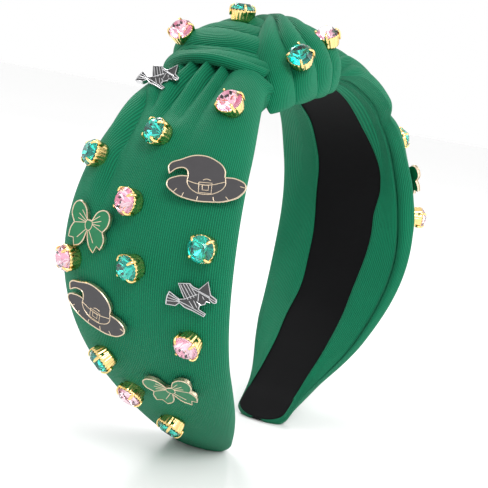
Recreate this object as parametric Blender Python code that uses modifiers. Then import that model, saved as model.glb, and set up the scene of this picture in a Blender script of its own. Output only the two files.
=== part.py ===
"""Knotted fabric headband with sewn-on stones and enamel charms.

A sprung plastic hoop carries a ribbon lining inside and padded fabric covers
outside.  A cloth knot sits on the crown.  The hoop stands on its two tips.

Frame: X runs from ear to ear, -Y is the wearer's front, +Z is up.  The origin
is midway between the tips, on the surface the headband stands on.
Lengths are in millimetres until the last step, which scales them to metres.

Shapes on the hoop are laid out in hoop coordinates:
    along   distance from the crown along the hoop's inner line (right arm > 0)
    across  distance along Y
    out     distance outwards from the inner line
"""
import math

import bmesh
import bpy
from mathutils import Matrix, Vector

MM = 0.001
FIT_GAP = 0.3                   # gap kept between touching pieces

# Inner line of the hoop: a flat crown arc, a tighter shoulder arc, a nearly straight leg
CROWN_RADIUS = 95.0
CROWN_HALF_ANGLE = 31.0
SHOULDER_RADIUS = 48.0
SHOULDER_END_ANGLE = 134.0
LEG_RADIUS = 400.0
LEG_LENGTH = 53.0

# Ribbon lining and plastic hoop core
LINING_WIDTH = 28.0
LINING_TIP_WIDTH = 17.0
LINING_TAPER_START = 100.0      # along
LINING_THICKNESS = 0.6
HOOP_THICKNESS = 2.2
TIP_ROUNDING = 5.0              # length of the rounded end of the lining and the hoop
TIP_LAST = 0.9                  # how far round the tip the covers run, as a share of TIP_ROUNDING
CORE_TIP_LAST = 0.55            # the same for the hoop and the lining, clear of the surface

# Flex points, where the arms bend away from the crown
FLEX_ALONG = 40.0
FLEX_SLIT = 1.2                 # slit between the crown's and the arm's hoop pieces

# Padded covers of the arms
COVER_START = 46.0              # along
COVER_WIDEST_ALONG = 111.0
COVER_KNOT_WIDTH = 33.0
COVER_WIDTH = 56.0
COVER_TIP_WALL = 1.3            # cloth left beside the lining at the tip
COVER_KNOT_THICKNESS = 12.5
COVER_THICKNESS = 15.0
COVER_TIP_THICKNESS = 5.5
EDGE_HEIGHT = 0.27              # height of the rolled edge, as a share of the thickness
HEM_HEIGHT = 0.2                # out, where the cover's inner face meets the lining
FOOT_DEPTH = 2.9                # how much of each tip is pressed flat on the surface

# Knot: a bundle across the left of the crown and a loop that holds it
BAND_MIDDLE_ALONG = -24.0
BAND_HALF_LENGTH = 15.8
BAND_BACK = 31.0                # across
BAND_FRONT = -9.5
BAND_TOP = 15.5                 # out
BAND_END_DROP = 8.0             # how far the pointed back end turns down
BAND_CLEARANCE = 1.0            # from the hoop's edge to where the end starts to turn down
LOOP_MIDDLE_ALONG = 4.5
LOOP_HALF_LENGTH = 11.5
LOOP_LOBE_ALONG = -40.0         # the front lobe's far end
LOOP_REACH = LINING_WIDTH / 2 + 6.3     # across, at the middle of the loop's cloth
LOOP_RISE = 9.6                 # out, at the middle of the loop's cloth on top
LOOP_THICKNESS = 8.6
LOOP_TOP_THICKNESS = 11.0
LOOP_TURN_UNDER = 106.0         # degrees from the top to the ends under the edges
TAIL_END_ALONG = 39.5           # the gathered cloth between the loop and the right cover
TAIL_HALF_WIDTH = 17.5
TAIL_TOP = 12.0                 # out

# Stones in claw settings
SETTING_RADIUS = 4.0
SETTING_BASE_RADIUS = 3.3
SETTING_HEIGHT = 4.0
SETTING_WALL = 0.5
SETTING_FLOOR = 1.2
CLAW_RISE = 1.5
CLAW_LEAN = 0.7
STONE_CROWN = 1.5
STONE_GIRDLE = 0.5
TABLE_SHARE = 0.58              # table radius over girdle radius
SET_GIRDLE_SHARE = 0.85         # a stone made with its setting is narrower, clear of the claws
SETTING_SEAT = 0.6              # stand-off of a setting from the crowned cloth
SETTING_SIDES = 12
STONE_SIDES = 8

# Charms
CHARM_THICKNESS = 1.3
CHARM_SEAT = 0.5
HAT_SIZE = 21.5                 # over the brim
BOW_SIZE = 15.0                 # over the loops
WITCH_SIZE = 13.5               # along the broom

RING_STEPS = 12                 # steps round a knot section


# ---------------------------------------------------------------- hoop line

CROWN_LENGTH = CROWN_RADIUS * math.radians(CROWN_HALF_ANGLE)
SHOULDER_LENGTH = SHOULDER_RADIUS * math.radians(SHOULDER_END_ANGLE - CROWN_HALF_ANGLE)
ARM_LENGTH = CROWN_LENGTH + SHOULDER_LENGTH + LEG_LENGTH


def arc_end(x, z, angle, radius, length):
    """Point and heading at the end of an arc that turns downwards."""
    end = angle + length / radius
    return (x + radius * (math.sin(end) - math.sin(angle)),
            z + radius * (math.cos(end) - math.cos(angle)),
            end)


def inner_line(along):
    """Point (x, z) below the crown and heading angle of the hoop's inner line."""
    distance = abs(along)
    x, z, angle = 0.0, 0.0, 0.0
    arcs = ((CROWN_RADIUS, CROWN_LENGTH), (SHOULDER_RADIUS, SHOULDER_LENGTH),
            (LEG_RADIUS, LEG_LENGTH))
    for radius, length in arcs:
        step = min(distance, length)
        x, z, angle = arc_end(x, z, angle, radius, step)
        distance -= step
    side = 1.0 if along >= 0 else -1.0
    return side * x, z, side * angle


def on_hoop(along, across, out):
    """Point in the headband's frame, in millimetres, from hoop coordinates."""
    x, z, angle = inner_line(along)
    return Vector((x + out * math.sin(angle), across, crown_height() + z + out * math.cos(angle)))


def crown_height():
    """Height of the crown's inner line over the surface the tips stand on."""
    return stand_height


def smooth(share):
    share = min(max(share, 0.0), 1.0)
    return share * share * (3.0 - 2.0 * share)


def mix(start, end, share):
    return start + (end - start) * share


# ---------------------------------------------------------------- widths and thicknesses

def tip_round(along, length):
    """Width factor of the rounded end of a band whose end lies at length."""
    into = (abs(along) - (length - TIP_ROUNDING)) / TIP_ROUNDING
    return math.sqrt(1.0 - min(max(into, 0.0), 1.0) ** 2)


def lining_half_width(along):
    share = (abs(along) - LINING_TAPER_START) / (ARM_LENGTH - LINING_TAPER_START)
    width = mix(LINING_WIDTH, LINING_TIP_WIDTH, min(max(share, 0.0), 1.0))
    return width / 2 * tip_round(along, ARM_LENGTH)


def cover_share_down(along):
    """0 at the cover's widest place, 1 at the tip."""
    return min(max((along - COVER_WIDEST_ALONG) / (ARM_LENGTH - COVER_WIDEST_ALONG), 0.0), 1.0)


def cover_share_up(along):
    """0 at the knot, 1 at the cover's widest place."""
    return min(max((along - COVER_START) / (COVER_WIDEST_ALONG - COVER_START), 0.0), 1.0)


def cover_half_width(along):
    along = abs(along)
    if along < COVER_WIDEST_ALONG:
        width = mix(COVER_KNOT_WIDTH, COVER_WIDTH, math.sin(cover_share_up(along) * math.pi / 2))
        return width / 2
    tip_width = LINING_TIP_WIDTH + 2 * (COVER_TIP_WALL + FIT_GAP)
    width = mix(COVER_WIDTH, tip_width, cover_share_down(along) ** 2)
    return max(width / 2 * tip_round(along, ARM_LENGTH),
               lining_half_width(along) + COVER_TIP_WALL + FIT_GAP)


def cover_thickness(along):
    along = abs(along)
    if along < COVER_WIDEST_ALONG:
        return mix(COVER_KNOT_THICKNESS, COVER_THICKNESS, cover_share_up(along))
    return mix(COVER_THICKNESS, COVER_TIP_THICKNESS, cover_share_down(along) ** 1.6)


def cover_outer(along, turn):
    """Outer face of a cover: turn runs from 0 at the +Y edge to pi at the -Y edge."""
    height = cover_thickness(along)
    edge = EDGE_HEIGHT * height
    return (cover_half_width(along) * math.cos(turn), edge + (height - edge) * math.sin(turn))


def lowest_outer_point():
    """Height of the lowest point of a cover's outer face, below the crown line."""
    lowest = 0.0
    steps = 400
    for step in range(steps + 1):
        along = mix(COVER_WIDEST_ALONG, ARM_LENGTH - TIP_ROUNDING * (1 - TIP_LAST), step / steps)
        _, z, angle = inner_line(along)
        lowest = min(lowest, z + cover_thickness(along) * math.cos(angle))
    return lowest


stand_height = -(lowest_outer_point() + FOOT_DEPTH)


# ---------------------------------------------------------------- building blocks

def empty_scene():
    for item in list(bpy.data.objects):
        bpy.data.objects.remove(item, do_unlink=True)


def new_collection(name):
    collection = bpy.data.collections.new(name)
    bpy.context.scene.collection.children.link(collection)
    return collection


def finish_of(name, colour, roughness, metallic):
    material = bpy.data.materials.new(name)
    material.use_nodes = True
    shader = material.node_tree.nodes["Principled BSDF"]
    shader.inputs["Base Color"].default_value = (*colour, 1.0)
    shader.inputs["Roughness"].default_value = roughness
    shader.inputs["Metallic"].default_value = metallic
    return material


def add_mesh(name, mesh_data, material, collection):
    mesh = bpy.data.meshes.new(name)
    bmesh.ops.recalc_face_normals(mesh_data, faces=mesh_data.faces[:])
    mesh_data.to_mesh(mesh)
    mesh_data.free()
    mesh.materials.append(material)
    item = bpy.data.objects.new(name, mesh)
    collection.objects.link(item)
    return item


def shade_round(item, degrees=35.0):
    item.data.shade_smooth()
    item.data.set_sharp_from_angle(angle=math.radians(degrees))


def loft(name, rings, material, collection):
    """Closed body through rings of points with the same count, capped at both ends."""
    body = bmesh.new()
    loops = [[body.verts.new(point * MM) for point in ring] for ring in rings]
    count = len(rings[0])
    for first, second in zip(loops, loops[1:]):
        for step in range(count):
            following = (step + 1) % count
            body.faces.new((first[step], first[following], second[following], second[step]))
    body.faces.new(loops[0])
    body.faces.new(loops[-1])
    return add_mesh(name, body, material, collection)


def stations(start, end, count):
    return [mix(start, end, step / (count - 1)) for step in range(count)]


def arm_stations(start, side, count, tip_last=TIP_LAST):
    """Stations from start to the rounded tip, closer together round the tip."""
    straight_end = ARM_LENGTH - TIP_ROUNDING
    places = stations(start, straight_end, count)
    for degrees in (22.0, 42.0, 64.0):
        places.append(straight_end + TIP_ROUNDING * tip_last * math.sin(math.radians(degrees))
                      / math.sin(math.radians(64.0)))
    return [side * along for along in places]


# ---------------------------------------------------------------- hoop, lining, covers

def flat_band(name, places, low, high, shrink, material, collection):
    """Band of even thickness between two heights, as wide as the lining less shrink."""
    rings = []
    for along in places:
        half = lining_half_width(along) - shrink
        rings.append([on_hoop(along, half, low), on_hoop(along, half, high),
                      on_hoop(along, -half, high), on_hoop(along, -half, low)])
    return loft(name, rings, material, collection)


HOOP_LOW = LINING_THICKNESS + FIT_GAP
HOOP_HIGH = HOOP_LOW + HOOP_THICKNESS
GROOVE_FLOOR = HOOP_HIGH + FIT_GAP


def make_hoop(material, collection):
    """The plastic hoop, slit at the flex points so that its arms can turn."""
    crown_end = FLEX_ALONG - FLEX_SLIT / 2
    crown_places = stations(-crown_end, crown_end, 11)
    flat_band("hoop_crown", crown_places, HOOP_LOW, HOOP_HIGH, FIT_GAP, material, collection)
    for name, side in (("hoop_left_arm", -1), ("hoop_right_arm", 1)):
        places = arm_stations(FLEX_ALONG + FLEX_SLIT / 2, side, 15, CORE_TIP_LAST)
        flat_band(name, places, HOOP_LOW, HOOP_HIGH, FIT_GAP, material, collection)


def make_lining(material, collection):
    """The ribbon under the hoop, slit where the hoop flexes."""
    crown_end = FLEX_ALONG - FLEX_SLIT / 2
    crown_places = stations(-crown_end, crown_end, 11)
    flat_band("lining_crown", crown_places, 0.0, LINING_THICKNESS, 0.0, material, collection)
    for name, side in (("lining_left_arm", -1), ("lining_right_arm", 1)):
        places = arm_stations(FLEX_ALONG + FLEX_SLIT / 2, side, 15, CORE_TIP_LAST)
        flat_band(name, places, 0.0, LINING_THICKNESS, 0.0, material, collection)


def cover_ring(along):
    """Cover section: crowned outer face, rolled edges, and a groove for hoop and lining."""
    turns = [math.pi * step / 10 for step in range(11)]
    outer = [cover_outer(along, turn) for turn in turns]
    half = cover_half_width(along)
    groove = lining_half_width(along) + FIT_GAP
    edge = EDGE_HEIGHT * cover_thickness(along)
    inner = []
    for share in (0.3, 1.0):
        across = mix(half, groove, share)
        out = mix(edge, HEM_HEIGHT, math.sin(share * math.pi / 2))
        inner.append((across, out))
    inner.append((groove, GROOVE_FLOOR))
    section = outer + [(-across, out) for across, out in inner] + inner[::-1]
    return [on_hoop(along, across, out) for across, out in section]


def foot_cutter(collection):
    """Block below the surface that the tips stand on; it presses them flat."""
    reach = 2.0 * (SHOULDER_RADIUS + COVER_THICKNESS)
    block = bmesh.new()
    bmesh.ops.create_cube(block, size=1.0)
    bmesh.ops.scale(block, vec=Vector((2 * reach, 2 * COVER_WIDTH, reach)) * MM, verts=block.verts)
    bmesh.ops.translate(block, vec=Vector((0, 0, -reach / 2)) * MM, verts=block.verts)
    cutter = add_mesh("foot_cutter", block, finish_of("cutter", (1, 0, 0), 1, 0), collection)
    cutter.hide_render = True
    cutter.display_type = "WIRE"
    return cutter


def make_covers(material, collection, cutters):
    cutter = foot_cutter(cutters)
    for name, side in (("cover_left", -1), ("cover_right", 1)):
        rings = [cover_ring(along) for along in arm_stations(COVER_START, side, 19)]
        cover = loft(name, rings, material, collection)
        shade_round(cover, 50.0)
        flatten = cover.modifiers.new("foot", "BOOLEAN")
        flatten.operation = "DIFFERENCE"
        flatten.object = cutter


# ---------------------------------------------------------------- knot

def band_section(share):
    """Middle (along, out) and half sizes of the band's section at a share of its width."""
    taper = math.sqrt(max(1.0 - max(share - 0.45, 0.0) ** 2 / 0.55 ** 2, 0.0))
    past_edge = mix(BAND_FRONT, BAND_BACK, share) - LINING_WIDTH / 2 - BAND_CLEARANCE
    drop = smooth(past_edge / (BAND_BACK - LINING_WIDTH / 2 - BAND_CLEARANCE))
    floor = GROOVE_FLOOR - BAND_END_DROP * drop
    top = BAND_TOP - (BAND_TOP - floor) * (1.0 - taper) * 0.9
    return (BAND_MIDDLE_ALONG, (floor + top) / 2,
            BAND_HALF_LENGTH * mix(0.45, 1.0, taper), (top - floor) / 2)


def band_point(share, turn):
    """Point of the band's skin in hoop coordinates; turn 0 faces the arm, pi/2 up."""
    along, out, half_length, half_height = band_section(share)
    return (along - half_length * math.cos(turn),
            mix(BAND_FRONT, BAND_BACK, share),
            out + half_height * math.sin(turn))


def loop_point(degrees, turn):
    """Point of the loop's skin; degrees 0 is on top, positive towards the front edge."""
    angle = math.radians(degrees)
    sine, cosine = math.sin(angle), math.cos(angle)
    across = -LOOP_REACH * math.copysign(abs(sine) ** 0.62, sine)
    out = 1.0 + (LOOP_RISE - 1.0) * math.copysign(abs(cosine) ** 0.62, cosine)
    lobe = smooth((degrees - 28.0) / 30.0)
    left = mix(LOOP_MIDDLE_ALONG - LOOP_HALF_LENGTH, LOOP_LOBE_ALONG, lobe)
    right = LOOP_MIDDLE_ALONG + LOOP_HALF_LENGTH
    thickness = mix(LOOP_THICKNESS, LOOP_TOP_THICKNESS, max(cosine, 0.0) ** 6)
    rise = thickness / 2 * math.sin(turn)
    return ((left + right) / 2 - (right - left) / 2 * math.cos(turn),
            across - rise * sine,
            out + rise * cosine)


def tail_point(along, turn):
    """Point of the tail's skin; turn 0 to pi runs over its crowned top."""
    top = mix(TAIL_TOP, COVER_KNOT_THICKNESS, smooth(along / TAIL_END_ALONG))
    return (along, TAIL_HALF_WIDTH * math.cos(turn),
            GROOVE_FLOOR + (top - GROOVE_FLOOR) * math.sin(turn))


def make_knot(material, collection):
    turns = [2 * math.pi * step / RING_STEPS for step in range(RING_STEPS)]
    shares = (0.0, 0.12, 0.28, 0.44, 0.58, 0.66, 0.74, 0.84, 0.93, 0.98)
    band = loft("knot_band", [[on_hoop(*band_point(share, turn)) for turn in turns]
                              for share in shares], material, collection)
    shade_round(band, 50.0)
    bends = stations(-LOOP_TURN_UNDER, LOOP_TURN_UNDER, 17)
    loop = loft("knot_loop", [[on_hoop(*loop_point(degrees, turn)) for turn in turns]
                              for degrees in bends], material, collection)
    shade_round(loop, 50.0)
    tail_start = LOOP_MIDDLE_ALONG + LOOP_HALF_LENGTH + FIT_GAP
    top_turns = [math.pi * step / RING_STEPS for step in range(RING_STEPS + 1)]
    tail = loft("knot_tail", [[on_hoop(*tail_point(along, turn)) for turn in top_turns]
                              for along in stations(tail_start, TAIL_END_ALONG, 6)],
                material, collection)
    shade_round(tail, 50.0)


# ---------------------------------------------------------------- seats for the ornaments

def seat_on(skin, first, second, step=0.01):
    """Point and outward normal of a skin given as a function of two values."""
    point = on_hoop(*skin(first, second))
    along_first = on_hoop(*skin(first + step, second)) - point
    along_second = on_hoop(*skin(first, second + step)) - point
    normal = along_first.cross(along_second).normalized()
    return point, normal


def facing(normal, outwards):
    return normal if normal.dot(outwards) > 0 else -normal


def seat_on_cover(along, across):
    """Seat on a cover's outer face at a place given in hoop coordinates."""
    turn = math.acos(max(-1.0, min(1.0, across / cover_half_width(along))))

    def skin(place, angle):
        side_across, out = cover_outer(place, angle)
        return place, side_across, out

    point, normal = seat_on(skin, along, turn)
    x, _, angle = inner_line(along)
    return point, facing(normal, Vector((math.sin(angle), 0.0, math.cos(angle))))


def seat_on_knot(skin, first, second, inside):
    point, normal = seat_on(skin, first, second)
    return point, facing(normal, point - on_hoop(*inside))


def place(item, point, normal, towards, turn_degrees, stand_off):
    """Set a piece on its seat with its own +Z on the normal and its +Y turned from towards."""
    upright = (towards - normal * towards.dot(normal)).normalized()
    sideways = upright.cross(normal)
    frame = Matrix((sideways, upright, normal)).transposed().to_4x4()
    turn = Matrix.Rotation(math.radians(turn_degrees), 4, "Z")
    location = Matrix.Translation((point + normal * stand_off) * MM)
    item.matrix_world = location @ frame @ turn


# ---------------------------------------------------------------- stones and settings

GIRDLE_RADIUS = SETTING_RADIUS - SETTING_WALL - FIT_GAP


def add_claws(body, rim_faces):
    """Raise four of the rim's faces and lean them in over the stone."""
    spaced = sorted(rim_faces, key=lambda face: math.atan2(*face.calc_center_median()[:2]))
    for face in spaced[::len(spaced) // 4]:
        raised = bmesh.ops.extrude_discrete_faces(body, faces=[face])["faces"][0]
        middle = raised.calc_center_median()
        inwards = Vector((-middle.x, -middle.y, 0.0)).normalized()
        shift = (inwards * CLAW_LEAN + Vector((0, 0, CLAW_RISE))) * MM
        bmesh.ops.translate(body, vec=shift, verts=list(raised.verts))


def cup_blank(body):
    """Tapered cup body standing on z = 0; returns the rim's ring faces and the inner face."""
    bmesh.ops.create_cone(body, cap_ends=True, segments=SETTING_SIDES,
                          radius1=SETTING_BASE_RADIUS * MM, radius2=SETTING_RADIUS * MM,
                          depth=SETTING_HEIGHT * MM,
                          matrix=Matrix.Translation((0, 0, SETTING_HEIGHT / 2 * MM)))
    top = max(body.faces, key=lambda face: face.calc_center_median().z)
    rim = bmesh.ops.inset_region(body, faces=[top], thickness=SETTING_WALL * MM,
                                 use_even_offset=True)["faces"]
    return rim, top


def raise_face(body, face, height, scale):
    """Extrude a face along Z and scale it about the Z axis; returns the new face."""
    new = bmesh.ops.extrude_face_region(body, geom=[face])
    fresh = [item for item in new["geom"] if isinstance(item, bmesh.types.BMVert)]
    if face.is_valid:
        bmesh.ops.delete(body, geom=[face], context="FACES_ONLY")
    bmesh.ops.translate(body, vec=(0, 0, height * MM), verts=fresh)
    for vert in fresh:
        vert.co.x *= scale
        vert.co.y *= scale
    return next(item for item in new["geom"] if isinstance(item, bmesh.types.BMFace))


def setting_mesh():
    """Hollow claw setting."""
    body = bmesh.new()
    rim, top = cup_blank(body)
    raise_face(body, top, SETTING_FLOOR - SETTING_HEIGHT, 0.8)
    add_claws(body, rim)
    return body


def set_stone_mesh():
    """Claw setting with its stone in place, as one body."""
    body = bmesh.new()
    rim, top = cup_blank(body)
    girdle = raise_face(body, top, STONE_GIRDLE, SET_GIRDLE_SHARE)
    raise_face(body, girdle, STONE_CROWN, TABLE_SHARE)
    add_claws(body, rim)
    return body


def make_stone(name, material, collection):
    """Faceted stone: pavilion, girdle, crown and flat table, turned about Z."""
    girdle_low = SETTING_HEIGHT
    girdle_high = girdle_low + STONE_GIRDLE
    table = girdle_high + STONE_CROWN
    culet = SETTING_FLOOR + FIT_GAP
    profile = ((0.0, table), (GIRDLE_RADIUS * TABLE_SHARE, table), (GIRDLE_RADIUS, girdle_high),
               (GIRDLE_RADIUS, girdle_low), (0.0, culet))
    mesh = bpy.data.meshes.new(name)
    points = [(radius * MM, 0.0, height * MM) for radius, height in profile]
    edges = [(step, step + 1) for step in range(len(points) - 1)]
    mesh.from_pydata(points, edges, [])
    mesh.materials.append(material)
    stone = bpy.data.objects.new(name, mesh)
    collection.objects.link(stone)
    turned = stone.modifiers.new("turned", "SCREW")
    turned.axis = "Z"
    turned.angle = math.radians(360)
    turned.steps = STONE_SIDES
    turned.render_steps = STONE_SIDES
    turned.use_merge_vertices = True
    turned.merge_threshold = 0.00001
    turned.use_smooth_shade = False
    return stone


# ---------------------------------------------------------------- charms

# Outlines in shares of the charm's size, anticlockwise; True marks a sharp corner
HAT_OUTLINE = (
    ((-0.49, -0.06), False), ((-0.40, -0.18), False), ((-0.20, -0.26), False),
    ((0.05, -0.28), False), ((0.29, -0.25), False), ((0.45, -0.16), False),
    ((0.50, -0.05), False), ((0.40, 0.03), False), ((0.23, 0.05), True),
    ((0.22, 0.15), False), ((0.11, 0.26), False), ((-0.12, 0.32), False),
    ((-0.34, 0.25), False), ((-0.48, 0.17), False), ((-0.47, 0.06), True),
    ((-0.36, 0.14), False), ((-0.26, 0.13), False), ((-0.23, 0.04), True),
    ((-0.36, 0.03), False),
)
BOW_OUTLINE = (
    ((0.06, 0.14), True), ((0.20, 0.36), False), ((0.43, 0.38), False),
    ((0.49, 0.18), False), ((0.39, 0.01), True), ((0.47, -0.15), False),
    ((0.43, -0.31), True), ((0.33, -0.27), True), ((0.28, -0.41), True),
    ((0.12, -0.30), False), ((0.0, -0.05), True), ((-0.10, -0.33), False),
    ((-0.25, -0.41), True), ((-0.31, -0.27), True), ((-0.44, -0.28), True),
    ((-0.44, -0.12), False), ((-0.38, 0.01), True), ((-0.50, 0.20), False),
    ((-0.41, 0.41), False), ((-0.20, 0.37), False), ((-0.06, 0.14), True),
)
WITCH_OUTLINE = (
    ((-0.50, 0.06), True), ((-0.48, -0.13), True), ((-0.27, -0.12), True),
    ((-0.12, -0.13), True), ((0.08, -0.26), False), ((0.28, -0.35), True),
    ((0.31, -0.30), True), ((0.12, -0.17), True), ((0.12, -0.06), True),
    ((0.30, -0.07), False), ((0.31, 0.01), True), ((0.50, -0.03), False),
    ((0.49, 0.04), True), ((0.32, 0.13), True), ((0.28, 0.33), True),
    ((0.10, 0.17), True), ((-0.06, 0.25), True), ((-0.26, 0.22), False),
    ((-0.22, 0.06), True), ((-0.28, -0.02), True),
)


def make_charm(name, outline, size, material, collection):
    """Flat plate of a charm's outline, its back face on its own z = 0."""
    curve = bpy.data.curves.new(name, "CURVE")
    curve.dimensions = "2D"
    curve.fill_mode = "BOTH"
    curve.extrude = CHARM_THICKNESS / 2 * MM
    curve.resolution_u = 3
    spline = curve.splines.new("BEZIER")
    spline.bezier_points.add(len(outline) - 1)
    for point, ((x, y), sharp) in zip(spline.bezier_points, outline):
        point.co = Vector((x, y, 0.0)) * size * MM
        handle = "VECTOR" if sharp else "AUTO"
        point.handle_left_type = handle
        point.handle_right_type = handle
    spline.use_cyclic_u = True
    curve.materials.append(material)
    charm = bpy.data.objects.new(name, curve)
    collection.objects.link(charm)
    return charm


CHARMS = {
    "hat": (HAT_OUTLINE, HAT_SIZE),
    "bow": (BOW_OUTLINE, BOW_SIZE),
    "witch": (WITCH_OUTLINE, WITCH_SIZE),
}

# Ornaments of each arm, seen from outside with the crown upwards.
# Stones: colour, along, across.  Charms: kind, along, across, turn in degrees.
ARM_STONES = {
    "left": (("pink", 64.0, -14.0), ("green", 76.0, 0.0), ("green", 83.0, 18.0),
             ("pink", 92.0, 1.0), ("green", 98.0, -21.5), ("green", 105.0, -3.5),
             ("pink", 107.0, 18.5), ("pink", 120.0, -20.0), ("green", 129.5, 8.0),
             ("pink", 141.0, 3.0), ("green", 157.0, -5.0)),
    "right": (("pink", 54.0, -12.0), ("green", 61.0, 1.0), ("green", 66.0, 15.5),
              ("pink", 84.0, 6.0), ("green", 89.0, -19.0), ("green", 95.0, -3.0),
              ("pink", 92.0, 24.5), ("pink", 111.0, -19.0), ("green", 117.5, 3.0),
              ("pink", 130.0, 8.0), ("green", 146.0, -3.0)),
}
ARM_CHARMS = {
    "left": (("witch", 58.0, 14.0, 0.0), ("hat", 84.0, -17.0, 14.0), ("bow", 99.5, 15.5, -4.0),
             ("witch", 109.0, -20.0, 0.0), ("hat", 116.5, 9.5, -14.0),
             ("bow", 136.0, -11.5, 8.0)),
    "right": (("witch", 54.0, 7.5, 0.0), ("hat", 74.0, -12.0, 14.0), ("bow", 79.5, 19.5, -4.0),
              ("witch", 100.0, -19.0, 0.0), ("hat", 104.5, 10.0, -14.0),
              ("bow", 124.0, -11.0, 8.0)),
}
ARMS = (("left", -1), ("right", 1))


def arm_seat(side, along, across):
    """Seat for a place given as it is seen from outside the arm."""
    return seat_on_cover(side * along, -side * across)


def upwards_along(side, along):
    """Direction from a place on an arm towards the crown."""
    _, _, angle = inner_line(side * along)
    return -side * Vector((math.cos(angle), 0.0, -math.sin(angle)))


def make_setting(name, mesh_data, material, seat, towards, collection):
    cup = add_mesh(name, mesh_data, material, collection)
    shade_round(cup, 30.0)
    place(cup, *seat, towards, 15.0, SETTING_SEAT)
    return cup


def make_arm_ornaments(finishes, collection):
    """Left arm: cup and stone apart.  Right arm: each stone is one body with its cup."""
    for arm, side in ARMS:
        for number, (colour, along, across) in enumerate(ARM_STONES[arm], start=1):
            seat = arm_seat(side, along, across)
            towards = upwards_along(side, along)
            if side > 0:
                make_setting(f"set_stone_right_{number}_{colour}", set_stone_mesh(),
                             finishes[colour], seat, towards, collection)
                continue
            make_setting(f"setting_left_{number}", setting_mesh(), finishes["gold"],
                         seat, towards, collection)
            stone = make_stone(f"stone_left_{number}_{colour}", finishes[colour], collection)
            place(stone, *seat, towards, 15.0, SETTING_SEAT)
        for number, (kind, along, across, turn) in enumerate(ARM_CHARMS[arm], start=1):
            outline, size = CHARMS[kind]
            charm = make_charm(f"charm_{arm}_{number}_{kind}", outline, size,
                               finishes[kind], collection)
            seat = arm_seat(side, along, across)
            place(charm, *seat, upwards_along(side, along), turn,
                  CHARM_SEAT + CHARM_THICKNESS / 2)


# Stones of the knot: name, colour, skin, its two values, and a point inside the cloth
KNOT_STONES = (
    ("back", "pink", band_point, 0.87, 1.25, (BAND_MIDDLE_ALONG, 15.0, 4.0)),
    ("top", "green", band_point, 0.56, 2.10, (BAND_MIDDLE_ALONG, 10.0, 4.0)),
    ("front", "green", loop_point, 50.0, 0.35, (-12.0, -10.0, 0.0)),
    ("right", "pink", loop_point, 38.0, 0.65, (4.0, -5.0, 0.0)),
)


def make_knot_stones(finishes, collection):
    for name, colour, skin, first, second, inside in KNOT_STONES:
        seat = seat_on_knot(skin, first, second, inside)
        make_setting(f"set_stone_knot_{name}_{colour}", set_stone_mesh(), finishes[colour],
                     seat, Vector((0.3, 0.2, 1.0)), collection)


def make_finishes():
    return {
        "cloth": finish_of("cloth", (0.010, 0.235, 0.110), 0.7, 0.0),
        "plastic": finish_of("plastic", (0.03, 0.03, 0.03), 0.5, 0.0),
        "ribbon": finish_of("ribbon", (0.012, 0.012, 0.013), 0.9, 0.0),
        "gold": finish_of("gold", (0.83, 0.62, 0.22), 0.25, 1.0),
        "pink": finish_of("pink_stone", (0.86, 0.38, 0.52), 0.05, 0.0),
        "green": finish_of("green_stone", (0.0, 0.16, 0.13), 0.05, 0.0),
        "hat": finish_of("hat_enamel", (0.05, 0.05, 0.055), 0.25, 0.2),
        "bow": finish_of("bow_enamel", (0.06, 0.30, 0.10), 0.3, 0.2),
        "witch": finish_of("silver", (0.6, 0.6, 0.6), 0.3, 1.0),
    }


def main():
    empty_scene()
    parts = new_collection("knotted_headband")
    cutters = new_collection("cutters")
    finishes = make_finishes()
    make_hoop(finishes["plastic"], parts)
    make_lining(finishes["ribbon"], parts)
    make_covers(finishes["cloth"], parts, cutters)
    make_knot(finishes["cloth"], parts)
    make_arm_ornaments(finishes, parts)
    make_knot_stones(finishes, parts)


main()
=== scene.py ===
"""Looks of the knotted headband: pleated cloth, ribbon, knot, claw-set stones and enamel charms."""

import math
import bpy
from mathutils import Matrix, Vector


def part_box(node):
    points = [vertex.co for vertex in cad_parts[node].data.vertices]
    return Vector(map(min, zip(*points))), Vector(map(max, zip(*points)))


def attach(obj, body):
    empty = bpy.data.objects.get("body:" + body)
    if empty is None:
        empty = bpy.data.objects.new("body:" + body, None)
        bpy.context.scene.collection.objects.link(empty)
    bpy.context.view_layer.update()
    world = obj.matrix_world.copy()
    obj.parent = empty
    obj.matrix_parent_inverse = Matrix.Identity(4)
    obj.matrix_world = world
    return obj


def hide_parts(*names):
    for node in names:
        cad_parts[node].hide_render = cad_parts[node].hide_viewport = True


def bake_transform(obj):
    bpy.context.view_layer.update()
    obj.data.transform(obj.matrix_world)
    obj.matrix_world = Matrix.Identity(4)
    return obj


bl_info = {
    "name": "Knotted Headband",
    "version": (1, 0, 0),
    "blender": (4, 5, 0),
    "location": "View3D > Sidebar > Headband",
    "description": "Cloth, ribbon, stones and charms of a knotted headband around its frame",
    "category": "Object",
}

import bmesh
import bpy
import numpy as np
from mathutils import Matrix, Vector

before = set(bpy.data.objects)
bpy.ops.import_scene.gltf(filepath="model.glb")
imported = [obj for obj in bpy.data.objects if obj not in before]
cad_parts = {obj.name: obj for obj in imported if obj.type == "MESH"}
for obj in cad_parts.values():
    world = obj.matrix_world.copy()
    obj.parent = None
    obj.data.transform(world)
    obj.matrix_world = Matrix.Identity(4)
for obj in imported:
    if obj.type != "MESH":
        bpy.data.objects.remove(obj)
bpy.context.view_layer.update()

MM = 0.001

# ---------------------------------------------------------------- the hoop's line, as in the frame
# Millimetres.  along: from the crown, right arm > 0.  across: along Y.  out: outwards.

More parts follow.
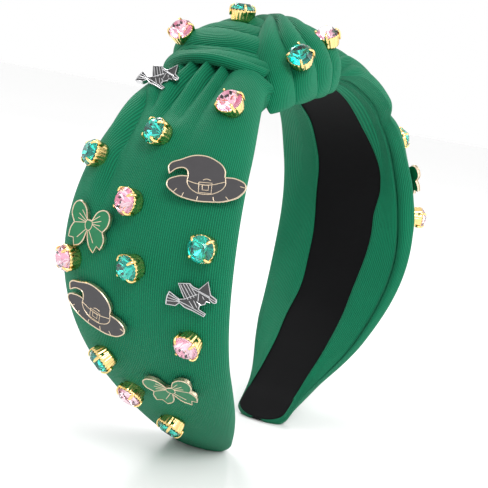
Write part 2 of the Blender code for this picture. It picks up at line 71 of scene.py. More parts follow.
CROWN_RADIUS = 95.0
CROWN_HALF_ANGLE = math.radians(31.0)
SHOULDER_RADIUS = 48.0
SHOULDER_END_ANGLE = math.radians(134.0)
LEG_RADIUS = 400.0
LEG_LENGTH = 53.0
CROWN_LENGTH = CROWN_RADIUS * CROWN_HALF_ANGLE
SHOULDER_LENGTH = SHOULDER_RADIUS * (SHOULDER_END_ANGLE - CROWN_HALF_ANGLE)
ARM_LENGTH = CROWN_LENGTH + SHOULDER_LENGTH + LEG_LENGTH

LINING_THICKNESS = 0.6
LINING_WIDTH = 28.0
LINING_TIP_WIDTH = 17.0
LINING_TAPER_START = 100.0
TIP_ROUNDING = 5.0
STRAIGHT_END = ARM_LENGTH - TIP_ROUNDING
TIP_STEPS = 12
TIP_REACH = 0.985               # how far round the tip the cloth's rows run
GROOVE_FLOOR = 3.4
FLEX_ALONG = 40.0

COVER_START = 46.0
COVER_WIDEST_ALONG = 111.0
COVER_KNOT_WIDTH = 33.0
COVER_WIDTH = 56.0
COVER_TIP_WALL = 1.6
COVER_KNOT_THICKNESS = 12.5
COVER_THICKNESS = 15.0
COVER_TIP_THICKNESS = 5.5
EDGE_HEIGHT = 0.27

STAND_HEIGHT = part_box("lining_crown")[1][2] / MM - LINING_THICKNESS


def inner_line(along):
    """Arrays x, z below the crown and heading angle of the hoop's inner line."""
    distance = np.abs(along)
    side = np.where(np.asarray(along) < 0, -1.0, 1.0)
    x = np.zeros_like(distance, dtype=float)
    z = np.zeros_like(distance, dtype=float)
    angle = np.zeros_like(distance, dtype=float)
    arcs = ((CROWN_RADIUS, CROWN_LENGTH), (SHOULDER_RADIUS, SHOULDER_LENGTH),
            (LEG_RADIUS, 2 * LEG_LENGTH))
    for radius, length in arcs:
        step = np.clip(distance, 0.0, length)
        end = angle + step / radius
        x = x + radius * (np.sin(end) - np.sin(angle))
        z = z + radius * (np.cos(end) - np.cos(angle))
        angle = end
        distance = distance - step
    return side * x, z, side * angle


def on_hoop(along, across, out):
    """Points in metres from hoop coordinates in millimetres; the last axis holds x, y, z."""
    along, across, out = np.broadcast_arrays(along, across, out)
    x, z, angle = inner_line(along)
    points = np.stack((x + out * np.sin(angle), across,
                       STAND_HEIGHT + z + out * np.cos(angle)), axis=-1)
    return points * MM


def joined_axes(*axes):
    """Array of points from an array or a number for each axis."""
    return np.stack(np.broadcast_arrays(*axes), axis=-1)


def smooth(share):
    share = np.clip(share, 0.0, 1.0)
    return share * share * (3.0 - 2.0 * share)


def ramp(value, start, end):
    """0 where a value is at start, smoothly to 1 where it is at end; end may be the lower."""
    return smooth((value - start) / (end - start))


def bell(value, middle, width):
    return np.exp(-((value - middle) / width) ** 2)


def mix(start, end, share):
    return start + (end - start) * share


def arm_rows(start, count):
    """Column of places along an arm, closer round its tip, to just short of the end."""
    turns = np.linspace(0.0, 1.0, TIP_STEPS)[1:] * math.pi / 2
    tip = STRAIGHT_END + TIP_ROUNDING * np.sin(turns) * TIP_REACH
    return np.concatenate((np.linspace(start, STRAIGHT_END, count), tip))[:, None]


def tip_round(along):
    into = (along - STRAIGHT_END) / TIP_ROUNDING
    return np.sqrt(np.maximum(1.0 - np.clip(into, 0.0, 1.0) ** 2, 0.0))


def lining_half_width(along):
    share = np.clip((along - LINING_TAPER_START) / (ARM_LENGTH - LINING_TAPER_START), 0.0, 1.0)
    return mix(LINING_WIDTH, LINING_TIP_WIDTH, share) / 2 * tip_round(along)


def cover_share_down(along):
    return np.clip((along - COVER_WIDEST_ALONG) / (ARM_LENGTH - COVER_WIDEST_ALONG), 0.0, 1.0)


def cover_share_up(along):
    return np.clip((along - COVER_START) / (COVER_WIDEST_ALONG - COVER_START), 0.0, 1.0)


def cover_half_width(along):
    upper = mix(COVER_KNOT_WIDTH, COVER_WIDTH, np.sin(cover_share_up(along) * math.pi / 2)) / 2
    tip_width = LINING_TIP_WIDTH + 2 * COVER_TIP_WALL
    lower = mix(COVER_WIDTH, tip_width, cover_share_down(along) ** 2) / 2 * tip_round(along)
    lower = np.maximum(lower, lining_half_width(along) + COVER_TIP_WALL)
    return np.where(along < COVER_WIDEST_ALONG, upper, lower)


def cover_thickness(along):
    upper = mix(COVER_KNOT_THICKNESS, COVER_THICKNESS, cover_share_up(along))
    lower = mix(COVER_THICKNESS, COVER_TIP_THICKNESS, cover_share_down(along) ** 1.6)
    return np.where(along < COVER_WIDEST_ALONG, upper, lower)


# ---------------------------------------------------------------- layout of the ornaments
# Seen from outside each arm with the crown upwards: colour or kind, along, across, turn

ARM_STONES = {
    "left": (("pink", 64.0, -14.0), ("green", 76.0, 0.0), ("green", 83.0, 18.0),
             ("pink", 92.0, 1.0), ("green", 98.0, -21.5), ("green", 105.0, -3.5),
             ("pink", 107.0, 18.5), ("pink", 120.0, -20.0), ("green", 129.5, 8.0),
             ("pink", 141.0, 3.0), ("green", 157.0, -5.0)),
    "right": (("pink", 54.0, -12.0), ("green", 61.0, 1.0), ("green", 66.0, 15.5),
              ("pink", 84.0, 6.0), ("green", 89.0, -19.0), ("green", 95.0, -3.0),
              ("pink", 92.0, 24.5), ("pink", 111.0, -19.0), ("green", 117.5, 3.0),
              ("pink", 130.0, 8.0), ("green", 146.0, -3.0)),
}
ARM_CHARMS = {
    "left": (("witch", 58.0, 14.0, 0.0), ("hat", 84.0, -17.0, 14.0), ("bow", 99.5, 13.4, -4.0),
             ("witch", 109.0, -20.0, 0.0), ("hat", 116.5, 8.2, -14.0),
             ("bow", 136.0, -11.5, 8.0)),
    "right": (("witch", 54.0, 7.5, 0.0), ("hat", 74.0, -12.0, 14.0), ("bow", 79.5, 19.5, -4.0),
              ("witch", 100.0, -19.0, 0.0), ("hat", 104.5, 10.0, -14.0),
              ("bow", 124.0, -11.0, 8.0)),
}
SIDES = {"left": -1, "right": 1}
SETTING_SEAT = 0.6
SETTING_SEED = 4
CHARM_SEAT = 0.5
CHARM_THICKNESS = 1.3
KNOT_MIDDLE_ALONG = -14.0
PROBE_STEP = 0.01               # step for the slopes of the cover's face


def cover_outer(along, turn):
    height = cover_thickness(along)
    edge = EDGE_HEIGHT * height
    return (cover_half_width(along) * np.cos(turn), edge + (height - edge) * np.sin(turn))


def seat_on_cover(side, along, across):
    """Point in metres, outward normal and direction to the crown, for one ornament."""
    turn = math.acos(max(-1.0, min(1.0, -side * across / float(cover_half_width(along)))))

    def point_at(place, angle):
        out_across, out = cover_outer(np.array(place), angle)
        return Vector(on_hoop(side * place, out_across, out))

    point = point_at(along, turn)
    down = point_at(along + PROBE_STEP, turn) - point
    round_arm = point_at(along, turn + PROBE_STEP) - point
    normal = down.cross(round_arm).normalized()
    _, _, angle = inner_line(np.array(side * along))
    outwards = Vector((math.sin(angle), 0.0, math.cos(angle)))
    if normal.dot(outwards) < 0:
        normal = -normal
    upwards = -side * Vector((math.cos(angle), 0.0, -math.sin(angle)))
    return point, normal, upwards


def placing(point, normal, upwards, turn_degrees, stand_off):
    """Matrix that stands a piece's own +Z on the normal and turns its +Y from upwards."""
    upright = (upwards - normal * upwards.dot(normal)).normalized()
    sideways = upright.cross(normal)
    axes = Matrix((sideways, upright, normal)).transposed().to_4x4()
    turn = Matrix.Rotation(math.radians(turn_degrees), 4, "Z")
    return Matrix.Translation(point + normal * stand_off * MM) @ axes @ turn


def node_seat(node):
    """Base centre and axis of a knot's setting, read from the frame's own solid.

    Its base is its largest flat face that looks towards the hoop.
    """
    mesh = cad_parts[node].data
    hoop = Vector(on_hoop(np.array(KNOT_MIDDLE_ALONG), 0.0, 0.0))
    sums = {}
    for face in mesh.polygons:
        if face.normal.dot(face.center - hoop) > 0:
            continue
        key = tuple(round(value, 2) for value in face.normal)
        area, centre = sums.get(key, (0.0, Vector()))
        sums[key] = (area + face.area, centre + face.center * face.area)
    key = max(sums, key=lambda name: sums[name][0])
    area, centre = sums[key]
    return centre / area, -Vector(key).normalized()


# ---------------------------------------------------------------- meshes

def link_object(name, data):
    item = bpy.data.objects.new(name, data)
    bpy.context.scene.collection.objects.link(item)
    return item


def finish_object(name, mesh, materials):
    for material in materials:
        mesh.materials.append(material)
    return link_object(name, mesh)


def mesh_of(body, name):
    """Mesh of a bmesh, which is freed."""
    mesh = bpy.data.meshes.new(name)
    body.to_mesh(mesh)
    body.free()
    return mesh


def evaluated_mesh(item, name):
    """Plain mesh of an object as evaluated; the object is removed."""
    evaluated = item.evaluated_get(bpy.context.evaluated_depsgraph_get())
    mesh = bpy.data.meshes.new_from_object(evaluated)
    mesh.name = name
    bpy.data.objects.remove(item, do_unlink=True)
    return mesh


def outward(mesh):
    """Turn a closed mesh right side out if its volume is negative."""
    body = bmesh.new()
    body.from_mesh(mesh)
    if body.calc_volume(signed=True) < 0:
        bmesh.ops.reverse_faces(body, faces=body.faces[:])
        body.to_mesh(mesh)
    body.free()


def tube_skin(name, points, cloth_uv, materials):
    """Closed skin through rows of ring points, capped at both ends.

    points has the shape rows, columns, 3; cloth_uv has one more column, for the ring's seam.
    """
    rows, columns = points.shape[:2]
    mesh = bpy.data.meshes.new(name)
    row, column = np.meshgrid(np.arange(rows - 1), np.arange(columns), indexing="ij")
    following = (column + 1) % columns
    quads = np.stack((row * columns + column, row * columns + following,
                      (row + 1) * columns + following, (row + 1) * columns + column), axis=-1)
    quads = quads.reshape(-1, 4)
    start_cap = list(range(columns))[::-1]
    end_cap = [(rows - 1) * columns + step for step in range(columns)]
    faces = [tuple(quad) for quad in quads.tolist()] + [tuple(start_cap), tuple(end_cap)]
    mesh.from_pydata(points.reshape(-1, 3).tolist(), [], faces)
    layer = mesh.uv_layers.new(name="cloth")
    corner = np.stack((cloth_uv[row, column], cloth_uv[row, column + 1],
                       cloth_uv[row + 1, column + 1], cloth_uv[row + 1, column]), axis=-2)
    caps = np.concatenate((cloth_uv[0, start_cap], cloth_uv[-1, :columns]))
    flat = np.concatenate((corner.reshape(-1, 2), caps)).astype(np.float32)
    layer.data.foreach_set("uv", flat.ravel())
    mesh.polygons.foreach_set("use_smooth", [True] * len(mesh.polygons))
    outward(mesh)
    return finish_object(name, mesh, materials)


def spline_rows(rows, count):
    """Smooth curve (Catmull-Rom) through rows of control values, sampled count times."""
    rows = np.asarray(rows, dtype=float)
    padded = np.concatenate((2 * rows[:1] - rows[1:2], rows, 2 * rows[-1:] - rows[-2:-1]))
    place = np.linspace(0.0, len(rows) - 1 - 1e-9, count)
    cell = place.astype(int)
    share = (place - cell).reshape((-1,) + (1,) * (rows.ndim - 1))
    before, start, end, after = (padded[cell + step] for step in range(4))
    return 0.5 * (2 * start + (end - before) * share
                  + (2 * before - 5 * start + 4 * end - after) * share ** 2
                  + (3 * start - before - 3 * end + after) * share ** 3)


def patch(controls, rows, columns):
    """Smooth patch through a grid of control points."""
    lengthwise = spline_rows(controls, rows)
    return np.swapaxes(spline_rows(np.swapaxes(lengthwise, 0, 1), columns), 0, 1)


def grid_normals(points):
    """Unit normals of a grid of points; the sign follows the grid's order."""
    normal = np.cross(np.gradient(points, axis=0), np.gradient(points, axis=1))
    return normal / (np.linalg.norm(normal, axis=-1, keepdims=True) + 1e-12)


def soft_noise(first, second, seed, waves=6):
    """Gentle seeded unevenness between about -1 and 1, from a few sine waves."""
    rng = np.random.default_rng(seed)
    total = np.zeros(np.broadcast(first, second).shape)
    for _ in range(waves):
        direction = rng.uniform(0.0, 2 * math.pi)
        pace = rng.uniform(0.7, 1.6)
        phase = rng.uniform(0.0, 2 * math.pi)
        total += np.sin(pace * (first * math.cos(direction) + second * math.sin(direction)) + phase)
    return total / waves * 1.6


# ---------------------------------------------------------------- materials

def principled(name, values=()):
    """Material with values on its shader's own sockets; returns it, its tree and its shader."""
    material = bpy.data.materials.new(name)
    material.use_nodes = True
    shader = material.node_tree.nodes["Principled BSDF"]
    for socket, value in dict(values).items():
        shader.inputs[socket].default_value = value
    return material, material.node_tree, shader


def add_node(tree, kind, **values):
    """New node; keyword values set its properties."""
    node = tree.nodes.new(kind)
    for key, value in values.items():
        setattr(node, key, value)
    return node


def new_group(name, inputs, outputs):
    """Node group with its interface; returns the tree and its input and output nodes."""
    group = bpy.data.node_groups.new(name, "ShaderNodeTree")
    for label, kind, default in inputs:
        socket = group.interface.new_socket(label, in_out="INPUT", socket_type=kind)
        if default is not None:
            socket.default_value = default
    for label in outputs:
        group.interface.new_socket(label, in_out="OUTPUT", socket_type="NodeSocketFloat")
    return group, group.nodes.new("NodeGroupInput"), group.nodes.new("NodeGroupOutput")


def math_node(tree, operation, *operands, clamp=False):
    """Math node fed by sockets or numbers; returns its output socket."""
    node = add_node(tree, "ShaderNodeMath", operation=operation, use_clamp=clamp)
    for socket, value in zip(node.inputs, operands):
        if isinstance(value, (int, float)):
            socket.default_value = value
        else:
            tree.links.new(value, socket)
    return node.outputs[0]


def noise_node(tree, vector, detail):
    """Noise texture read at a vector socket."""
    noise = add_node(tree, "ShaderNodeTexNoise")
    noise.inputs["Detail"].default_value = detail
    tree.links.new(vector, noise.inputs["Vector"])
    return noise


def rib_group():
    """Fine lengthwise ribs of a stretch knit, with little cross stitches in the grooves."""
    stitch_height, fuzz_height, fuzz_scale = 0.12, 0.25, 900.0
    group, given, result = new_group(
        "fine ribs",
        (("Cloth", "NodeSocketVector", None), ("Spacing", "NodeSocketFloat", 0.00066),
         ("Stitch", "NodeSocketFloat", 0.0008)),
        ("Height", "Groove"))
    split = add_node(group, "ShaderNodeSeparateXYZ")
    group.links.new(given.outputs["Cloth"], split.inputs[0])

    def wave(axis, pitch):
        turns = math_node(group, "DIVIDE", split.outputs[axis], given.outputs[pitch])
        return math_node(group, "SINE", math_node(group, "MULTIPLY", turns, 2 * math.pi))

    rib = math_node(group, "MULTIPLY_ADD", wave("X", "Spacing"), 0.5, 0.5)
    knit = math_node(group, "MULTIPLY", wave("Y", "Stitch"), stitch_height)
    noise = noise_node(group, given.outputs["Cloth"], 2.0)
    noise.inputs["Scale"].default_value = fuzz_scale
    fuzz = math_node(group, "MULTIPLY", noise.outputs["Fac"], fuzz_height)
    height = math_node(group, "ADD", math_node(group, "ADD", rib, knit), fuzz)
    groove = math_node(group, "SUBTRACT", 1.0, rib, clamp=True)
    group.links.new(height, result.inputs["Height"])
    group.links.new(groove, result.inputs["Groove"])
    return group


def drift_group():
    """Slow drift of tone over a surface, for dye, handling and dust."""
    group, given, result = new_group(
        "tone drift",
        (("Position", "NodeSocketVector", None), ("Scale", "NodeSocketFloat", 60.0),
         ("Amount", "NodeSocketFloat", 0.1)),
        ("Tone",))
    noise = noise_node(group, given.outputs["Position"], 3.0)
    group.links.new(given.outputs["Scale"], noise.inputs["Scale"])
    centred = math_node(group, "SUBTRACT", noise.outputs["Fac"], 0.5)
    scaled = math_node(group, "MULTIPLY", centred, given.outputs["Amount"])
    group.links.new(math_node(group, "ADD", scaled, 1.0), result.inputs["Tone"])
    return group


def place_group(tree, group, values, links):
    """Group node with values and links on its inputs."""
    node = add_node(tree, "ShaderNodeGroup", node_tree=group)
    for name, value in values.items():
        node.inputs[name].default_value = value
    for name, socket in links.items():
        tree.links.new(socket, node.inputs[name])
    return node


def scaled_colour(tree, colour, tone):
    """Colour multiplied by a tone socket."""
    node = add_node(tree, "ShaderNodeVectorMath", operation="SCALE")
    node.inputs[0].default_value = colour[:3]
    tree.links.new(tone, node.inputs["Scale"])
    return node.outputs[0]


class Finishes:
    """Every material of the headband, built once from the settings."""

    def __init__(self, settings):
        self.ribs = rib_group()
        self.drift = drift_group()
        # the cloth's 0.42 is painted shade in its rib grooves; the ribbon's 0.0 paints none
        self.cloth = self.make_textile(
            "emerald rib cloth", settings.cloth_colour, {}, (45.0, 0.22), 0.42, (0.8, 0.00022),
            {"Roughness": 0.62, "Specular IOR Level": 0.15, "Sheen Weight": 0.18,
             "Sheen Roughness": 0.45, "Sheen Tint": (0.25, 0.95, 0.62, 1.0)})
        self.ribbon = self.make_textile(
            "black ribbon", settings.ribbon_colour, {"Spacing": 0.0005, "Stitch": 0.0005},
            (70.0, 0.5), 0.0, (0.3, 0.0001),
            {"Roughness": 0.85, "Specular IOR Level": 0.12, "Sheen Weight": 0.02})
        self.plastic = self.make_solid("black hoop plastic", (0.03, 0.03, 0.032), (300.0, 0.3),
                                       {"Roughness": 0.4})
        self.gold = self.make_metal("pale gold plating", settings.gold_colour, 0.16)
        self.champagne = self.make_metal("champagne outline", (0.74, 0.60, 0.44), 0.28)
        self.silver = self.make_metal("antique silver", (0.56, 0.56, 0.57), 0.22, (900.0, 0.5))
        self.recess = self.make_metal("darkened silver", (0.07, 0.07, 0.072), 0.34)
        self.hat = self.make_enamel("hat enamel", (0.040, 0.037, 0.040))
        self.bow = self.make_enamel("bow enamel", (0.004, 0.165, 0.060))
        self.glass = {"pink": self.make_glass("rose crystal", settings.pink_colour),
                      "green": self.make_glass("emerald crystal", settings.green_colour)}
        # the foils' light and dark tones, spread at random over the stone's faces, are painted glints
        # and dark reflections over each foil's own tint
        self.foil = {"pink": self.make_foil("rose foil", (1.0, 0.82, 0.88), (0.84, 0.34, 0.48)),
                     "green": self.make_foil("emerald foil", (0.08, 0.90, 0.78), (0.0, 0.10, 0.09))}

    def drift_tone(self, tree, scale, amount):
        """Tone socket that drifts over the piece's own coordinates."""
        coordinates = add_node(tree, "ShaderNodeTexCoord")
        drift = place_group(tree, self.drift, {"Scale": scale, "Amount": amount},
                            {"Position": coordinates.outputs["Object"]})
        return drift.outputs["Tone"]

    def make_textile(self, name, colour, rib, drift, groove, bump, values):
        """Ribbed textile, with painted shade in the grooves between its ribs, by the groove's share.
        """
        material, tree, shader = principled(name, values)
        uv = add_node(tree, "ShaderNodeUVMap", uv_map="cloth")
        ribs = place_group(tree, self.ribs, rib, {"Cloth": uv.outputs[0]})
        tone = self.drift_tone(tree, *drift)
        # painted shade: the colour darkens in the grooves between the ribs, by groove times the
        # groove's share
        if groove:
            groove_shade = math_node(tree, "MULTIPLY", ribs.outputs["Groove"], -groove)
            tone = math_node(tree, "ADD", groove_shade, tone)
        tree.links.new(scaled_colour(tree, colour, tone), shader.inputs["Base Color"])
        relief = add_node(tree, "ShaderNodeBump")
        relief.inputs["Strength"].default_value, relief.inputs["Distance"].default_value = bump
        tree.links.new(ribs.outputs["Height"], relief.inputs["Height"])
        tree.links.new(relief.outputs[0], shader.inputs["Normal"])
        return material

    def make_solid(self, name, colour, drift, values, roughness=None):
        """Smooth material with a drifting tone; a metal's roughness drifts with it."""
        material, tree, shader = principled(name, values)
        tone = self.drift_tone(tree, *drift)
        tree.links.new(scaled_colour(tree, colour, tone), shader.inputs["Base Color"])
        if roughness is not None:
            tree.links.new(math_node(tree, "MULTIPLY", tone, roughness),
                           shader.inputs["Roughness"])
        return material

    def make_metal(self, name, colour, roughness, drift=(700.0, 0.25)):
        return self.make_solid(name, colour, drift, {"Metallic": 1.0}, roughness)

    def make_enamel(self, name, colour):
        return self.make_solid(name, colour, (250.0, 0.35),
                               {"Roughness": 0.35, "Specular IOR Level": 0.3,
                                "Coat Weight": 0.2, "Coat Roughness": 0.1})

    def make_glass(self, name, colour):
        return principled(name, {"Base Color": (*colour[:3], 1.0), "Roughness": 0.02,
                                 "IOR": 1.58, "Transmission Weight": 1.0})[0]

    def make_foil(self, name, light, dark):
        """Foiled back of a stone; its tone is set per face at random between dark and light, as
        painted glints and dark reflections over the foil's own tint.
        """
        material, tree, shader = principled(name, {"Metallic": 1.0, "Roughness": 0.08})
        facet = add_node(tree, "ShaderNodeAttribute", attribute_name="facet")
        ramp = add_node(tree, "ShaderNodeMix", data_type="RGBA")
        ramp.inputs["A"].default_value = (*dark, 1.0)
        ramp.inputs["B"].default_value = (*light, 1.0)
        tree.links.new(facet.outputs["Fac"], ramp.inputs["Factor"])
        tree.links.new(ramp.outputs["Result"], shader.inputs["Base Color"])
        return material


FINISHES = {}


def finishes():
    """The materials, made at first use."""
    if not FINISHES:
        FINISHES["all"] = Finishes(bpy.context.scene.headband_finish)
    return FINISHES["all"]


# ---------------------------------------------------------------- covers

# Valleys of the pleats, seen from outside: points of the route (along, across), width, depth
PLEATS = (
    (((38.0, 0.5), (55.0, -3.5), (80.0, -9.0)), 1.5, 3.4),
    (((38.0, 5.4), (55.0, 1.5), (80.0, -2.5)), 1.6, 4.6),
    (((38.0, 10.4), (56.0, 8.0), (84.0, 4.0)), 1.7, 5.0),
    (((38.0, 15.6), (58.0, 13.5), (82.0, 10.0)), 1.6, 4.4),
    (((38.0, 20.5), (60.0, 18.0), (78.0, 14.0), (92.0, 12.0), (106.0, 10.5)), 1.7, 4.6),
)
PLEAT_FADE_START = 0.4          # share of a pleat's length that keeps its full depth
PLEAT_OPENING = 1.2             # how much wider a pleat is at its end
PLEAT_STEEP = 1.25
PLEAT_GENTLE = 0.75
PLEAT_SHARPNESS = 1.1
PLEAT_SWELL = 0.30              # swell beside a pleat, as a share of its depth
PLEAT_SWELL_PLACE = (1.9, 0.9)  # its middle and width, in pleat widths
PLEAT_SHARES = {"left": 1.0, "right": 0.5}
STONE_PULL = (4.6, 0.55)        # reach and lift of the cloth under an ornament
HAT_PULL = (8.0, 0.3)
CHARM_PULL = (5.5, 0.3)
COVER_BEGINS = {"left": 0.5, "right": -14.0}
KNOT_END_HALF = 19.0            # half width of the cloth under the knot
BAND_END_HEIGHT = 5.2           # height of the left cover under the band
LOOP_END_HEIGHT = 6.0           # the right cover's under the loop
LOOP_END_HALF = 15.6
KNOT_SHIFT = 3.0                # how far the cloth moves sideways into the knot
PLEAT_SHIFT = 4.5
COVER_SWELL = 0.35              # unevenness of the outer face
COVER_SEED = 11
OUTER_COLUMNS = 141
FLAP_COLUMNS = 37
# How far the cloth's edges stand out from the frame's solid, where the arm tapers and at the tip
EDGE_TRIMS = {("left", 1): -2.6, ("left", -1): -0.4, ("right", 1): -1.8, ("right", -1): -3.4}
EDGE_TRIM_PLACE = (140.0, 24.0)     # middle and width of the trimmed stretch, along
TIP_TRIMS = {("left", 1): 0.7, ("left", -1): 0.0, ("right", 1): 1.0, ("right", -1): 1.0}
TIP_WALL = 1.5                  # cloth beside the ribbon at a trimmed tip
FULL_EDGE_HALF = 30.5           # half width of the right cover's full edge
CREASE_PLACES = (40.0, 75.0, 92.0, 108.0, 125.0, 145.0, 165.0)
CREASE_SHARES = (0.66, 0.60, 0.50, 0.38, 0.32, 0.24, 0.12)
CREASE_REACH = 0.06             # half of the flap's strip that holds its crease
CREASE_COLUMNS = (0.35, 0.65)   # shares of the flap's columns where that strip starts and ends
FRONT_ROLL = 0.14               # inner faces' swell, as a share of the cover's height
BACK_ROLL = 0.13
CREASE_DEPTH = 0.9
CREASE_STEP = 1.3
DENT_DEPTH = 0.5
DENT_SEED = 17
RIPPLE = 0.3
RIPPLE_SEED = 5
FLAP_ROOM = 7.0                 # width of inner face that lets it swell in full
RIBBON_GAP = 0.3
HEM_AT_KNOT = 5.0
HEM_AT_MIDDLE = 1.9
# Section of the hem's lip: share of its overlap on the ribbon, level (out)
HEM_LIP = ((0.5, -0.34), (0.9, -0.40), (1.0, -0.22), (0.85, -0.06), (0.0, -0.05))
GROOVE_TOP = 1.2
FLOOR_GAP = 0.0001              # metres


def pleat_depth(along, across):
    """How far the cloth dips (negative) or swells at a place on a cover's outer face."""
    total = np.zeros(np.broadcast(along, across).shape)
    for route, width, depth in PLEATS:
        route = np.array(route)
        start, end = route[0, 0], route[-1, 0]
        fade = ramp(along, end, mix(start, end, PLEAT_FADE_START))
        spread = width * (1.0 + PLEAT_OPENING * ramp(along, start, end))
        offset = (across - np.interp(along, route[:, 0], route[:, 1])) / spread
        # each pleat falls steeply on its own side and opens slowly on the other
        offset = np.where(offset > 0, offset / PLEAT_GENTLE, offset / PLEAT_STEEP)
        total -= depth * fade * np.exp(-np.abs(offset) ** PLEAT_SHARPNESS)
        total += PLEAT_SWELL * depth * fade * bell(offset, *PLEAT_SWELL_PLACE)
    return total


def seat_pull(arm, along, across):
    """Weight and height that pull the cloth up to the underside of each ornament."""
    weight = np.zeros(np.broadcast(along, across).shape)
    height = np.zeros_like(weight)
    seats = [(place, sideways, STONE_PULL) for _, place, sideways in ARM_STONES[arm]]
    seats += [(place, sideways, HAT_PULL if kind == "hat" else CHARM_PULL)
              for kind, place, sideways, _ in ARM_CHARMS[arm]]
    for place, sideways, (reach, lift) in seats:
        near = np.exp(-(((along - place) ** 2 + (across - sideways) ** 2) / reach ** 2) ** 1.5)
        weight = np.maximum(weight, near)
        height += near * lift
    return weight, height


def hem_overlap(arm, along, edge):
    """How far the hem lies over the ribbon; edge is +1 on the +Y side.

    The hem wanders by two waves.  On one edge it lies deeper at the knot and at mid-arm.
    """
    overlap = 0.9 + 0.35 * np.sin(along / 9.0 + edge) + 0.25 * np.sin(along / 4.1 + 2.0 * edge)
    if edge == -SIDES[arm]:
        at_knot = ramp(along, 76.0, 48.0)
        at_middle = ramp(along, 80.0, 94.0) * ramp(along, 146.0, 122.0)
        overlap = 0.5 * overlap + HEM_AT_KNOT * at_knot + HEM_AT_MIDDLE * at_middle
    return overlap * ramp(along, ARM_LENGTH - 13.0, ARM_LENGTH - 29.0)


def edge_reach(arm, along, half, edge):
    """How far the cloth's edge lies beyond the section's ellipse; edge is +1 on +Y."""
    reach = EDGE_TRIMS[arm, edge] * bell(along, *EDGE_TRIM_PLACE)
    to_tip = ramp(along, ARM_LENGTH - 50.0, ARM_LENGTH - 4.0)
    reach = mix(reach, lining_half_width(along) + TIP_WALL - half, TIP_TRIMS[arm, edge] * to_tip)
    if (arm, edge) == ("right", 1):
        spare = np.maximum(FULL_EDGE_HALF - half, 0.0)
        reach = reach + spare * ramp(along, -4.0, 20.0) * ramp(along, 150.0, 105.0)
    return reach


def cover_section(arm, along):
    """Half width and height of the cover's section, also where it runs in under the knot."""
    half = mix(cover_half_width(along), KNOT_END_HALF, ramp(along, 50.0, 37.0))
    height = cover_thickness(along)
    if arm == "left":
        return half, mix(height, BAND_END_HEIGHT, ramp(along, 46.5, 40.0))
    under_loop = ramp(along, 6.0, -12.0)
    return mix(half, LOOP_END_HALF, under_loop), mix(height, LOOP_END_HEIGHT, under_loop)


def outer_face(arm, along, half, height):
    """Hoop coordinates of the pleated outer face, from the +Y edge to the -Y edge."""
    side = SIDES[arm]
    edge = EDGE_HEIGHT * height
    into_knot = ramp(along, 76.0, 42.0)
    turn = np.linspace(0.0, math.pi, OUTER_COLUMNS)[None, :]
    across = half * np.cos(turn)
    out = edge + (height - edge) * np.sin(turn)
    dip = pleat_depth(along, -side * across + PLEAT_SHIFT * into_knot) * PLEAT_SHARES[arm]
    swell = COVER_SWELL * soft_noise(along / 13.0, across / 9.0, COVER_SEED + side)
    weight, lift = seat_pull(arm, along, -side * across)
    relief = (dip + swell) * (1.0 - weight) + lift
    relief = relief * np.sin(turn) ** 0.35 * ramp(along, ARM_LENGTH + 2.0, ARM_LENGTH - 28.0)
    normal_across = np.cos(turn) / half
    normal_out = np.sin(turn) / (height - edge)
    size = np.hypot(normal_across, normal_out)
    reach = np.where(np.cos(turn) > 0, edge_reach(arm, along, half, 1),
                     -edge_reach(arm, along, half, -1))
    across = across + reach * ramp(np.abs(np.cos(turn)), 0.5, 1.0) - side * KNOT_SHIFT * into_knot
    return joined_axes(along, across + relief * normal_across / size,
                       out + relief * normal_out / size)


def flap_shares(crease):
    """Shares of the flap's width, with a third of its columns close round the crease."""
    start, end = CREASE_COLUMNS
    place = np.linspace(0.0, 1.0, FLAP_COLUMNS)[None, 1:]
    before, after = crease - CREASE_REACH, crease + CREASE_REACH
    share = np.where(place < end, mix(before, after, (place - start) / (end - start)),
                     mix(after, 1.0, (place - end) / (1.0 - end)))
    return np.where(place < start, place / start * before, share)


def inner_flap(arm, along, half, height, edge):
    """Hoop coordinates of the inner face, from its outer edge to the groove under the ribbon."""
    groove = lining_half_width(along) + RIBBON_GAP
    crease = np.interp(along, CREASE_PLACES, CREASE_SHARES)
    share = flap_shares(crease)
    middle = np.sin(share * math.pi)
    shift = -SIDES[arm] * KNOT_SHIFT * ramp(along, 76.0, 42.0)
    start = half + edge_reach(arm, along, half, edge) + edge * shift
    if edge < 0:
        # folded: a padded roll, a valley along the crease, and the layer that laps over it
        roll = FRONT_ROLL * height * np.sin(np.clip(share / crease, 0.0, 1.0) * math.pi)
        layer = ramp(share, crease - 0.01, crease + 0.02) * ramp(share, 1.0, crease)
        relief = CREASE_DEPTH * bell(share, crease - 0.015, 0.02) - roll - CREASE_STEP * layer
    else:
        roll = BACK_ROLL * height * np.sin(share ** 0.7 * math.pi)
        dents = soft_noise(along / 11.0, share * 4.0 + along / 30.0, DENT_SEED) * middle
        relief = -roll - DENT_DEPTH * dents
    ripple = RIPPLE * soft_noise(along / 8.0, share * 3.0, RIPPLE_SEED + edge) * middle
    out = EDGE_HEIGHT * height * np.cos(share * math.pi / 2) ** 1.2 + ripple - 0.12 * share
    out = out + relief * ramp(half - groove, 0.0, FLAP_ROOM)
    overlap = hem_overlap(arm, along, edge)
    lip = [(groove - RIBBON_GAP - overlap * reach, level) for reach, level in HEM_LIP]
    lip += [(groove, GROOVE_TOP), (groove, GROOVE_FLOOR)]
    return np.concatenate((joined_axes(along, edge * mix(start, groove, share), out),
                           *(joined_axes(along, edge * across, level) for across, level in lip)),
                          axis=1)


